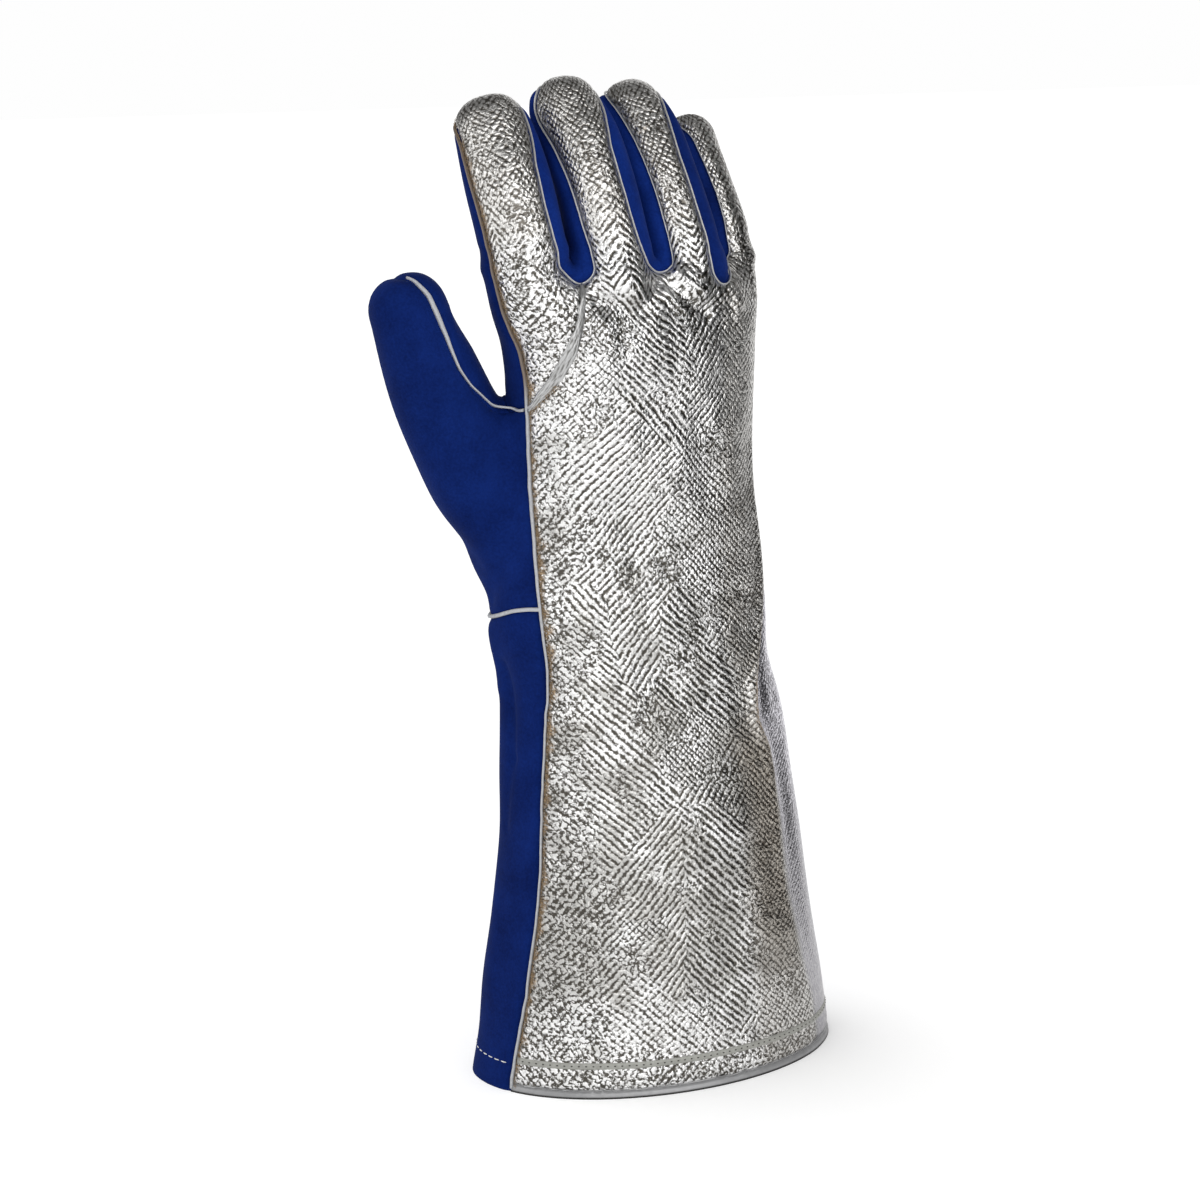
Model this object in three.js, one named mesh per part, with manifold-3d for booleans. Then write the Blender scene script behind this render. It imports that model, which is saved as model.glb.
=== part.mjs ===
import * as THREE from "three";
import Module from "manifold-3d";

// A right-hand heat-resistant gauntlet standing on its open cuff, in millimetres, +Z up.
// The back of the hand faces -Y, the thumb points to -X and the palm faces +Y.
// The back is aluminized cloth, the rest is blue split leather, and light welts lie in the seams.

// Driving dimensions
const wall = 2.2;
const seamGap = 0.3;
const wristHeight = 212;
const webHeight = 304;
const hemEdgeHeight = 4;
const tapeBottom = 13;
const tapeTop = 16.5;
const tapeThickness = 0.7;
const weltHalfWidth = 1.3;
const weltProud = 0.9;
const weltSunk = 1.6;
const weltShoulder = 0.4;
const weltHeadroom = 1;
const weltFoot = 1;
const weltEndScale = 0.3;
const sideWeltRise = 8;
const thumbWeltRise = 6;
const ulnarSeam = 106;
const sideSeamJoin = 335;
const webBearing = -88;
const thumbRootBearing = -118;
const seamClearance = 2.5;
const wristWeltSteps = 14;
const regionReach = 1.22;
const regionOverrun = 5;
const regionLap = 2;
const thumbFrontLap = 4;
const wedgeAxis = 0.02;
const wedgeSides = 8;
const stripEnd = 122;
const stripEndScale = 0.8;
const crotchSides = 8;
const crotchTallness = 1.4;
const aboveGlove = 480;
const besideGlove = 240;
const domeEnd = 80;
const outerSides = { body: 30, digit: 12 };
const innerSides = { body: 20, digit: 8 };
const steps = { body: 2, digit: 1 };
const domeSteps = 2;
const domeBluntness = 0.75;
const digitSquareness = 2.3;
const hollowFootDepth = 6;

// Bearings go round each section in degrees: 0 is the back of the hand, 90 the little finger's
// side, 180 the palm and -90 the thumb's side.

// Cuff and hand: a row for each section, from the hem up. side is the bearing of the thumb-side seam.
const bodyRows = [
  { z: 0, x: 1, y: 0, halfWidth: 88, front: 55, back: 45, turn: 0, square: 2, side: -69 },
  { z: 20, x: 1, y: 0, halfWidth: 85, front: 52, back: 43, turn: 0, square: 2, side: -68 },
  { z: 60, x: 0, y: 0, halfWidth: 80, front: 47, back: 40, turn: 0, square: 2.1, side: -63 },
  { z: 110, x: -2, y: 0, halfWidth: 74, front: 41, back: 37, turn: 1, square: 2.1, side: -60 },
  { z: 160, x: -5, y: 0, halfWidth: 69, front: 36, back: 34, turn: 2, square: 2.2, side: -60 },
  { z: 212, x: -11, y: -1, halfWidth: 65, front: 32, back: 31, turn: 3, square: 2.2, side: -56 },
  { z: 250, x: -12, y: -1, halfWidth: 61, front: 31, back: 30, turn: 4, square: 2.3, side: -62 },
  { z: 285, x: -12, y: -2, halfWidth: 59, front: 29, back: 28, turn: 6, square: 2.4, side: -70 },
  { z: 315, x: -12, y: -3, halfWidth: 60, front: 27, back: 26, turn: 8, square: 2.6, side: -74 },
  { z: 340, x: -14, y: -4, halfWidth: 62, front: 26, back: 24, turn: 9, square: 2.8, side: -70 },
  { z: 352, x: -14, y: -4, halfWidth: 61.5, front: 25, back: 22, turn: 9, square: 2.8, side: -68 },
  { z: 361, x: -14, y: -4, halfWidth: 59, front: 21, back: 18, turn: 9, square: 2.8, side: -66 },
];

// Dents and folds of the cuff and hand: each pushes the wall in (or out, where depth is negative)
// round its middle, over its height and its width in degrees.
const bodyDents = [
  { name: "cuff side valley", z: 160, bearing: 58, depth: 3.5, height: 55, spread: 12 },
  { name: "hand side valley", z: 270, bearing: 62, depth: 2.5, height: 45, spread: 12 },
  { name: "wrist hollow", z: 238, bearing: -5, depth: 3, height: 24, spread: 28 },
  { name: "knuckle swell", z: 325, bearing: 8, depth: -2, height: 14, spread: 34 },
  { name: "cuff leather crease", z: 175, bearing: -84, depth: 1.8, height: 30, spread: 9 },
  { name: "cuff front swell", z: 90, bearing: -12, depth: -2, height: 50, spread: 30 },
];

// Fingers and thumb: a row for each section from the root to the start of the rounded tip.
// low and high are the bearings between which the outer panel of the finger lies.
const digits = {
  index: {
    turn: -20, low: -52, high: 40, tipLength: 15,
    rows: [
      { x: -61, y: -9, z: 338, halfWidth: 15.5, depth: 17 },
      { x: -63.5, y: -11, z: 354, halfWidth: 18, depth: 19 },
      { x: -66.5, y: -9, z: 380, halfWidth: 18.3, depth: 18.5 },
      { x: -70, y: -3, z: 403, halfWidth: 18, depth: 18 },
      { x: -72.5, y: 5, z: 421, halfWidth: 16.3, depth: 16.5 },
    ],
  },
  middle: {
    turn: -12, low: -42, high: 34, tipLength: 15,
    rows: [
      { x: -23.5, y: -11, z: 340, halfWidth: 15.5, depth: 16.5 },
      { x: -25.5, y: -13, z: 358, halfWidth: 17.2, depth: 19 },
      { x: -30, y: -10, z: 385, halfWidth: 17, depth: 18.5 },
      { x: -34, y: -2, z: 409, halfWidth: 16.6, depth: 17.5 },
      { x: -37.5, y: 8, z: 429, halfWidth: 15.2, depth: 16 },
    ],
  },
  ring: {
    turn: 2, low: -34, high: 30, tipLength: 14,
    rows: [
      { x: 12, y: -6.5, z: 340, halfWidth: 15, depth: 15.5 },
      { x: 11, y: -8, z: 358, halfWidth: 16.3, depth: 18 },
      { x: 5, y: -3, z: 385, halfWidth: 16.2, depth: 17.5 },
      { x: 0, y: 6, z: 408, halfWidth: 16, depth: 17 },
      { x: -4, y: 16, z: 426, halfWidth: 14.3, depth: 15.5 },
    ],
  },
  little: {
    turn: 24, low: -36, high: 86, tipLength: 13,
    rows: [
      { x: 36, y: 2, z: 333, halfWidth: 12, depth: 14 },
      { x: 37.5, y: 3, z: 348, halfWidth: 13.8, depth: 15.5 },
      { x: 35, y: 7, z: 372, halfWidth: 13.8, depth: 15 },
      { x: 31, y: 14, z: 393, halfWidth: 13.5, depth: 14.5 },
      { x: 27.5, y: 23, z: 411, halfWidth: 12, depth: 13 },
    ],
  },
  thumb: {
    turn: 0, low: -178, high: 14, tipLength: 16,
    rows: [
      { x: -40, y: 4, z: 205, halfWidth: 22, depth: 22 },
      { x: -62, y: 6, z: 240, halfWidth: 26, depth: 23 },
      { x: -81, y: 7, z: 276, halfWidth: 24.5, depth: 20 },
      { x: -95, y: 6, z: 305, halfWidth: 21.5, depth: 18 },
      { x: -104.5, y: 5, z: 328, halfWidth: 19.5, depth: 17 },
      { x: -111, y: 5, z: 347, halfWidth: 17.2, depth: 15.5 },
    ],
  },
};

// The line between the index finger and the middle finger, as seen from the front, from the tips down.
const indexGap = [
  { x: -58, z: 450 },
  { x: -54.5, z: 421 },
  { x: -51.3, z: 403 },
  { x: -47.5, z: 382 },
];

// The curved seam at the index knuckle, from the finger crotch down to the side seam.
const knuckleSeam = [
  { x: -44, z: 368 },
  { x: -47, z: 356 },
  { x: -49, z: 346 },
  { x: -53, z: 336 },
  { x: -58, z: 326 },
  { x: -64, z: 315 },
  { x: -72, z: 303 },
];

// Finger crotches: the blue strip between two fingers turns here.
const crotches = [
  { name: "fourchette_index_middle", left: "index", right: "middle", x: -43.5, z: 364, radius: 5.5 },
  { name: "fourchette_middle_ring", left: "middle", right: "ring", x: -6.5, z: 366, radius: 5.5 },
  { name: "fourchette_ring_little", left: "ring", right: "little", x: 25.5, z: 361, radius: 5 },
];

// Finishes
const cloth = { color: 0xb5b3ad, roughness: 0.35, metalness: 0.8 };
const blueLeather = { color: 0x16307c, roughness: 0.9, metalness: 0 };
const leatherGrey = { color: 0xbcbfc2, roughness: 0.7, metalness: 0 };
const tape = { color: 0xa5a596, roughness: 0.6, metalness: 0 };

const wasm = await Module();
wasm.setup();
const radians = THREE.MathUtils.degToRad;

// Smooth values between the rows of a table, for every column
function between(rows, place) {
  const last = rows.length - 1;
  const index = Math.min(Math.floor(place), last - 1);
  const share = place - index;
  const rowAt = (k) => rows[THREE.MathUtils.clamp(k, 0, last)];
  const result = {};
  for (const column of Object.keys(rows[0])) {
    const [a, b, c, d] = [-1, 0, 1, 2].map((k) => rowAt(index + k)[column]);
    const bend = (2 * a - 5 * b + 4 * c - d) * share ** 2 + (3 * b - a - 3 * c + d) * share ** 3;
    result[column] = b + 0.5 * ((c - a) * share + bend);
  }
  return result;
}

// How far the wall of the cuff and hand is pushed in at a height and a bearing
function dentAt(z, bearing) {
  let sum = 0;
  for (const dent of bodyDents) {
    const up = (z - dent.z) / dent.height;
    const round = (bearing - dent.bearing) / dent.spread;
    sum += dent.depth * Math.exp(-(up ** 2) - round ** 2);
  }
  return sum;
}

// The sections of the cuff and hand, level rings that turn a little with the height
function bodyStations() {
  const stations = [];
  const count = (bodyRows.length - 1) * steps.body;
  for (let k = 0; k <= count; k += 1) {
    const row = between(bodyRows, k / steps.body);
    const turn = radians(row.turn);
    stations.push({
      ...row,
      centre: new THREE.Vector3(row.x, row.y, row.z),
      across: new THREE.Vector3(Math.cos(turn), Math.sin(turn), 0),
      out: new THREE.Vector3(Math.sin(turn), -Math.cos(turn), 0),
      scale: 1,
      dented: true,
    });
  }
  return stations;
}

// The sections of a finger or the thumb, square to its path, closed by a blunt dome
function stationsOf(digit) {
  const stations = [];
  const count = (digit.rows.length - 1) * steps.digit;
  const turn = radians(digit.turn);
  const sideways = new THREE.Vector3(Math.cos(turn), Math.sin(turn), 0);
  const step = 0.01;
  for (let k = 0; k <= count; k += 1) {
    const place = k / steps.digit;
    const row = between(digit.rows, place);
    const before = between(digit.rows, Math.max(place - step, 0));
    const after = between(digit.rows, Math.min(place + step, digit.rows.length - 1));
    const along = new THREE.Vector3(after.x - before.x, after.y - before.y, after.z - before.z);
    along.normalize();
    const across = sideways.clone().addScaledVector(along, -sideways.dot(along)).normalize();
    stations.push({
      centre: new THREE.Vector3(row.x, row.y, row.z),
      along,
      across,
      out: new THREE.Vector3().crossVectors(across, along),
      halfWidth: row.halfWidth,
      front: row.depth,
      back: row.depth,
      square: digitSquareness,
      scale: 1,
      reach: 0,
    });
  }
  const end = stations[stations.length - 1];
  for (let k = 1; k <= domeSteps; k += 1) {
    const angle = (k / domeSteps) * radians(domeEnd);
    const reach = Math.sin(angle);
    stations.push({
      ...end,
      centre: end.centre.clone().addScaledVector(end.along, reach * digit.tipLength),
      reach,
      scale: Math.cos(angle) ** domeBluntness,
    });
  }
  return stations;
}

// A point of a section at a bearing, moved out of the wall by offset (in, where it is negative)
function surfacePoint(station, bearing, offset, stretch = 1) {
  const angle = radians(bearing);
  const power = 2 / station.square;
  const side = Math.sin(angle);
  const face = Math.cos(angle);
  const depth = face > 0 ? station.front : station.back;
  const dent = station.dented ? dentAt(station.z, bearing) : 0;
  const grown = offset - dent;
  const size = station.scale * stretch;
  const sideways = Math.sign(side) * Math.abs(side) ** power * (station.halfWidth + grown) * size;
  const facing = Math.sign(face) * Math.abs(face) ** power * (depth + grown) * size;
  const point = station.centre.clone();
  if (station.reach) point.addScaledVector(station.along, station.reach * offset);
  return point.addScaledVector(station.across, sideways).addScaledVector(station.out, facing);
}

// A closed solid through rings that all have the same number of points
function loft(rings) {
  const count = rings[0].length;
  const positions = rings.flat().flatMap((point) => [point.x, point.y, point.z]);
  const faces = [];
  for (let r = 0; r + 1 < rings.length; r += 1) {
    for (let k = 0; k < count; k += 1) {
      const next = (k + 1) % count;
      const [a, b] = [r * count + k, r * count + next];
      faces.push(a, b, b + count, a, b + count, a + count);
    }
  }
  const cap = (ring, first, turned) => {
    const normal = new THREE.Vector3();
    ring.forEach((point, k) => {
      normal.add(new THREE.Vector3().crossVectors(point, ring[(k + 1) % count]));
    });
    normal.normalize();
    const axis = Math.abs(normal.z) < 0.8 ? new THREE.Vector3(0, 0, 1) : new THREE.Vector3(1, 0, 0);
    const u = new THREE.Vector3().crossVectors(axis, normal).normalize();
    const v = new THREE.Vector3().crossVectors(normal, u);
    const flat = ring.map((point) => new THREE.Vector2(point.dot(u), point.dot(v)));
    for (const [a, b, c] of THREE.ShapeUtils.triangulateShape(flat, [])) {
      faces.push(first + a, first + (turned ? c : b), first + (turned ? b : c));
    }
  };
  cap(rings[0], 0, true);
  cap(rings[rings.length - 1], (rings.length - 1) * count, false);
  let volume = 0;
  const corner = (k) => new THREE.Vector3(...positions.slice(3 * faces[k], 3 * faces[k] + 3));
  for (let k = 0; k < faces.length; k += 3) {
    volume += corner(k).dot(new THREE.Vector3().crossVectors(corner(k + 1), corner(k + 2)));
  }
  if (volume < 0) faces.reverse();
  return new wasm.Manifold(
    new wasm.Mesh({
      numProp: 3,
      vertProperties: new Float32Array(positions),
      triVerts: new Uint32Array(faces),
    }),
  );
}

function closedForm(stations, sides, offset) {
  return loft(
    stations.map((station) => {
      const ring = [];
      for (let k = 0; k < sides; k += 1) {
        ring.push(surfacePoint(station, -180 + (360 * k) / sides, offset));
      }
      return ring;
    }),
  );
}

// A wedge round a form between two bearings, deep enough to take the whole wall there.
// low and high give the bearing at a station, and grow widens the wedge by that much on each side.
function wedge(stations, low, high, grow = 0) {
  const leastDepth = 4;
  const [first, second] = stations;
  const [last, beforeLast] = [...stations].reverse();
  const past = (end, inner) => {
    const step = end.centre.clone().sub(inner.centre).setLength(regionOverrun);
    return { ...end, centre: end.centre.clone().add(step) };
  };
  const ends = [past(first, second), ...stations, past(last, beforeLast)];
  const rings = ends.map((station) => {
    const depth = Math.max(station.front * station.scale, leastDepth);
    const shift = THREE.MathUtils.radToDeg(grow / depth);
    const from = low(station) - shift;
    const to = high(station) + shift;
    const ring = [surfacePoint(station, from, 0, wedgeAxis)];
    for (let k = 0; k <= wedgeSides; k += 1) {
      ring.push(surfacePoint(station, from + ((to - from) * k) / wedgeSides, 0, regionReach));
    }
    return ring;
  });
  return loft(rings);
}

// A block whose outline is given by its corners in X and Z, through the whole glove front to back
function prismThrough(corners) {
  const faces = [-besideGlove, besideGlove];
  return loft(faces.map((y) => corners.map(({ x, z }) => new THREE.Vector3(x, y, z))));
}

function slab(low, high) {
  return prismThrough([
    { x: -besideGlove, z: low },
    { x: besideGlove, z: low },
    { x: besideGlove, z: high },
    { x: -besideGlove, z: high },
  ]);
}

// A tall round through the whole glove at a crotch, between two fingers
function crotchRound({ x, z, radius }, grow = 0) {
  const corners = [];
  for (let k = 0; k < crotchSides; k += 1) {
    const angle = (2 * Math.PI * k) / crotchSides;
    corners.push({
      x: x + (radius + grow) * Math.cos(angle),
      z: z + crotchTallness * (radius + grow) * Math.sin(angle),
    });
  }
  return prismThrough(corners);
}

// A flat strip laid along a path of points on the wall, each with its outward direction
function strip(path, { halfWidth, proud, sunk, endRoom }) {
  const last = path.length - 1;
  const rings = path.map(({ point, outward }, k) => {
    const before = path[Math.max(k - 1, 0)].point;
    const after = path[Math.min(k + 1, last)].point;
    const along = after.clone().sub(before).normalize();
    const start = point.clone();
    if (k === 0) start.addScaledVector(along, -endRoom);
    if (k === last) start.addScaledVector(along, endRoom);
    const across = new THREE.Vector3().crossVectors(along, outward).normalize();
    const up = new THREE.Vector3().crossVectors(across, along).normalize();
    const corner = (sideways, height) =>
      start.clone().addScaledVector(across, sideways).addScaledVector(up, height);
    return [
      corner(-halfWidth, -sunk),
      corner(halfWidth, -sunk),
      corner(halfWidth, proud * weltShoulder),
      corner(halfWidth * weltShoulder, proud),
      corner(-halfWidth * weltShoulder, proud),
      corner(-halfWidth, proud * weltShoulder),
    ];
  });
  return loft(rings);
}

// A welt, and the room that the panels leave for it
function weltPair(path) {
  const size = { halfWidth: weltHalfWidth, proud: weltProud, sunk: weltSunk, endRoom: 0 };
  const roomSize = {
    halfWidth: weltHalfWidth + seamGap,
    proud: weltProud + weltHeadroom,
    sunk: weltSunk + seamGap,
    endRoom: seamGap,
  };
  return { solid: strip(path, size), room: strip(path, roomSize) };
}

function onWall(station, bearing) {
  const point = surfacePoint(station, bearing, 0);
  return { point, outward: surfacePoint(station, bearing, 1).sub(point).normalize() };
}

const union = (solids) => solids.reduce((sum, solid) => sum.add(solid));

// The whole wall of the glove: the outer form less the hollow for the hand
const body = bodyStations();
const digitStations = {};
for (const [name, digit] of Object.entries(digits)) {
  digitStations[name] = stationsOf(digit);
}
const bodyFoot = { ...body[0], centre: body[0].centre.clone().setZ(-hollowFootDepth) };
const hollowBody = [bodyFoot, ...body.filter((station, k) => k % steps.body === 0).slice(0, -1)];
const outerForm = union([
  closedForm(body, outerSides.body, 0),
  ...Object.values(digitStations).map((stations) => closedForm(stations, outerSides.digit, 0)),
]);
const hollow = union([
  closedForm(hollowBody, innerSides.body, -wall),
  ...Object.values(digitStations).map((stations) => closedForm(stations, innerSides.digit, -wall)),
]);
const shell = outerForm.subtract(hollow);

// The section of the cuff and hand at a height
function bodyAt(z) {
  const station = body.find((one, k) => k + 1 === body.length || body[k + 1].z > z);
  const next = body[Math.min(body.indexOf(station) + 1, body.length - 1)];
  const share = next === station ? 0 : (z - station.z) / (next.z - station.z);
  const mixed = { ...station };
  for (const column of ["x", "y", "z", "halfWidth", "front", "back", "turn", "square", "side"]) {
    mixed[column] = THREE.MathUtils.lerp(station[column], next[column], share);
  }
  mixed.centre = new THREE.Vector3(mixed.x, mixed.y, mixed.z);
  return mixed;
}

// Seam lines on the wall, each a list of points with their outward directions
function alongDigit(name, bearing, lowest) {
  return digitStations[name]
    .filter((station) => station.centre.z > lowest && station.scale > weltEndScale)
    .map((station) => onWall(station, bearing));
}

function sideSeamPath() {
  const onBody = body.filter((station) => station.z < sideSeamJoin);
  const path = onBody.map((station) => onWall(station, station.side));
  path[0].point.z = weltFoot;
  return [...path, ...alongDigit("index", digits.index.low, sideSeamJoin + sideWeltRise)];
}

function thumbSeamPath() {
  const web = bodyAt(webHeight);
  const start = web.side - seamClearance;
  const across = [0, 0.5, 1].map((share) => onWall(web, start + (webBearing - start) * share));
  return [...across, ...alongDigit("thumb", digits.thumb.high, webHeight + thumbWeltRise)];
}

function wristSeamPath() {
  const wrist = bodyAt(wristHeight);
  const from = ulnarSeam + seamClearance;
  const to = 360 + wrist.side - seamClearance;
  const path = [];
  for (let k = 0; k <= wristWeltSteps; k += 1) {
    path.push(onWall(wrist, from + ((to - from) * k) / wristWeltSteps));
  }
  return path;
}

function knuckleSeamPath() {
  return knuckleSeam.slice(1, -1).map(({ x, z }) => {
    const station = bodyAt(z);
    const across = THREE.MathUtils.clamp((x - station.x) / station.halfWidth, -1, 1);
    const bearing = THREE.MathUtils.radToDeg(Math.asin(-(Math.abs(across) ** (station.square / 2))));
    return onWall(station, bearing);
  });
}

const welts = {
  side_welt: weltPair(sideSeamPath()),
  thumb_welt: weltPair(thumbSeamPath()),
  wrist_welt: weltPair(wristSeamPath()),
  index_welt: weltPair(knuckleSeamPath()),
};

// Regions that the panels are cut to; grow widens each by the gap that its neighbours keep
const backRegion = (grow) =>
  union([
    wedge(body, (station) => station.side, () => ulnarSeam, grow),
    ...["index", "middle", "ring", "little"].map((name) =>
      wedge(digitStations[name], () => digits[name].low, () => digits[name].high, grow),
    ),
  ]);

const indexRegion = (grow) => {
  const last = knuckleSeam[knuckleSeam.length - 1];
  return prismThrough([
    { x: -besideGlove, z: last.z - regionLap - grow },
    ...knuckleSeam.map(({ x, z }) => ({ x: x + grow, z: z - grow })).reverse(),
    ...indexGap.map(({ x, z }) => ({ x: x + grow, z })).reverse(),
    { x: -besideGlove, z: indexGap[0].z },
  ]);
};

const thumbRegion = (grow) => {
  const digit = wedge(digitStations.thumb, () => digits.thumb.low, () => digits.thumb.high, grow);
  const root = wedge(body, () => thumbRootBearing, (station) => station.side + regionLap, grow);
  return union([
    digit.intersect(slab(wristHeight, aboveGlove)),
    root.intersect(slab(wristHeight, webHeight + grow)),
  ]);
};

const thumbFrontRegion = (grow) => {
  const from = digits.thumb.high - thumbFrontLap;
  const to = 360 + digits.thumb.low + thumbFrontLap;
  const digit = wedge(digitStations.thumb, () => from, () => to, grow);
  return digit.subtract(closedForm(body, outerSides.body, seamGap));
};

const belowTip = (name) => digitStations[name].filter((station) => station.scale > stripEndScale);

const crotchRegion = (crotch, grow) =>
  union([
    wedge(belowTip(crotch.left), () => digits[crotch.left].high, () => stripEnd, grow),
    wedge(belowTip(crotch.right), () => -stripEnd, () => digits[crotch.right].low, grow),
  ])
    .intersect(slab(crotch.z - regionLap, aboveGlove))
    .add(crotchRound(crotch, grow));

// The sewn band near the hem: a ring low and a ring high, outside the cloth
const tapeRings = [tapeBottom, tapeTop].map((z) => {
  const station = bodyAt(z);
  const step = 360 / outerSides.body;
  const first = Math.ceil((station.side + seamClearance) / step);
  const last = Math.floor((ulnarSeam - seamClearance) / step);
  const ring = [];
  for (let k = first; k <= last; k += 1) {
    ring.push(surfacePoint(station, k * step, seamGap + tapeThickness));
  }
  for (let k = last; k >= first; k -= 1) {
    ring.push(surfacePoint(station, k * step, seamGap));
  }
  return ring;
});

const group = new THREE.Group();

// A solid becomes a named mesh; crumbs that a cut leaves apart from the main solid are dropped
function addPiece(name, solid, finish) {
  const [main] = solid.decompose().sort((a, b) => b.volume() - a.volume());
  const mesh = main.getMesh();
  const geometry = new THREE.BufferGeometry();
  const positions = new Float32Array(mesh.vertProperties);
  geometry.setAttribute("position", new THREE.BufferAttribute(positions, 3));
  geometry.setIndex(new THREE.BufferAttribute(new Uint32Array(mesh.triVerts), 1));
  const item = new THREE.Mesh(geometry, new THREE.MeshStandardMaterial(finish));
  item.name = name;
  group.add(item);
}

const { side_welt: sideWelt, ...otherWelts } = welts;
addPiece("side_welt", sideWelt.solid, leatherGrey);
for (const [name, welt] of Object.entries(otherWelts)) {
  addPiece(name, welt.solid.subtract(sideWelt.room), leatherGrey);
}

// What is left of a solid beside a region, with the gap between them
const beside = (solid, region) => solid.subtract(region(seamGap)).subtract(region(0));

// The panels, cut one after the other from what is left of the wall
const weltRoom = union(Object.values(welts).flatMap((welt) => [welt.room, welt.solid]));
const wallLeft = shell.subtract(weltRoom);
const rounds = (grow) => union(crotches.map((crotch) => crotchRound(crotch, grow)));
const back = beside(wallLeft.intersect(backRegion(0)), rounds);
const backAboveHem = back.intersect(slab(hemEdgeHeight + seamGap, aboveGlove));
addPiece("back_panel", beside(backAboveHem, indexRegion), cloth);
addPiece("index_back", backAboveHem.intersect(indexRegion(0)), cloth);
addPiece("hem_edge", back.intersect(slab(-hollowFootDepth, hemEdgeHeight)), tape);
addPiece("hem_tape", loft(tapeRings), tape);

let leather = beside(wallLeft, (grow) => backRegion(grow).subtract(rounds(0)));
for (const crotch of crotches) {
  const region = (grow) => crotchRegion(crotch, grow);
  addPiece(crotch.name, leather.intersect(region(0)), blueLeather);
  leather = beside(leather, region);
}
addPiece("cuff_leather", leather.intersect(slab(-hollowFootDepth, wristHeight - seamGap)), blueLeather);
const hand = leather.intersect(slab(wristHeight, aboveGlove));
addPiece("thumb_back", hand.intersect(thumbRegion(0)), blueLeather);
const handFront = beside(hand, thumbRegion);
addPiece("thumb_front", handFront.intersect(thumbFrontRegion(0)), blueLeather);
addPiece("palm", beside(handFront, thumbFrontRegion), blueLeather);

// The origin is the middle of the glove's box, on the floor
const box = new THREE.Box3().setFromObject(group);
const middle = box.getCenter(new THREE.Vector3());
group.position.set(-middle.x, -middle.y, 0);

export default group;
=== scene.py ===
import bpy
import math
import numpy as np
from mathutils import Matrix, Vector
from mathutils.bvhtree import BVHTree
from mathutils.kdtree import KDTree


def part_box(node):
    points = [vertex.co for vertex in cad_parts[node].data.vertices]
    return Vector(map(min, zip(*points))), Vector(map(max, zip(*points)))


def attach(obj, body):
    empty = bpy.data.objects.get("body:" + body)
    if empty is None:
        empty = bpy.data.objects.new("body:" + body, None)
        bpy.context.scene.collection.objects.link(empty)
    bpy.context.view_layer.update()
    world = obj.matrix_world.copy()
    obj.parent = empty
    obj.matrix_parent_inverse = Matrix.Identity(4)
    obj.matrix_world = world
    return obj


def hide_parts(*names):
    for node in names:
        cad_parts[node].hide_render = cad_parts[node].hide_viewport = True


# A heat-resistant gauntlet standing on its open cuff. The glove's pattern is kept in millimetres
# round the middle of the cuff's foot, and toRow() puts it where the frame has it.

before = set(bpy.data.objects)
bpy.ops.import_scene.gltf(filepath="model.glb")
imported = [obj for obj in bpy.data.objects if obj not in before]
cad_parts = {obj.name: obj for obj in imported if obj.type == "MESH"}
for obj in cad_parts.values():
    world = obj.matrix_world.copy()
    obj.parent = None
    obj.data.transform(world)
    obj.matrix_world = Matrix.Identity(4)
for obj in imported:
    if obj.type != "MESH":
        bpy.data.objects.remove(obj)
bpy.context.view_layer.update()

mm = 0.001
cuffFoot = {"x": 1, "halfWidth": 88, "front": 55}
hemLow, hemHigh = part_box("hem_edge")
shift = np.array([
    hemHigh.x / mm - cuffFoot["x"] - cuffFoot["halfWidth"],
    hemLow.y / mm + cuffFoot["front"],
    0.0,
])


def toRow(points):
    return (np.asarray(points, float) + shift) * mm


# Cuff and hand: z, x, y, half width, front and back depth, turn, squareness and the thumb-side seam's bearing
bodyRows = [
    (-10, 1, 0, 89, 56, 45.5, 0, 2, -66),
    (0, 1, 0, 88, 55, 45, 0, 2, -66),
    (20, 1, 0, 85, 52, 43, 0, 2, -65),
    (60, 0, 0, 79, 47, 40, 0, 2.1, -61),
    (110, -1.2, 0, 72.3, 41, 37, 1, 2.1, -60),
    (160, -4.5, 0, 68.5, 36, 34, 2, 2.2, -57.5),
    (185, -7, 0, 66, 34, 32, 2, 2.2, -54),
    (212, -11, -1, 67, 32, 31, 3, 2.2, -52.5),
    (250, -12, -1, 61.5, 31, 30, 4, 2.3, -63),
    (285, -12, -2, 59, 29, 28, 6, 2.4, -72),
    (315, -12, -3, 60, 27, 26, 8, 2.6, -77),
    (340, -14, -4, 62, 26, 24, 9, 2.8, -69),
    (352, -14, -4, 61.5, 25, 22, 9, 2.8, -67),
    (361, -14, -4, 59, 21, 18, 9, 2.8, -66),
]

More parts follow.
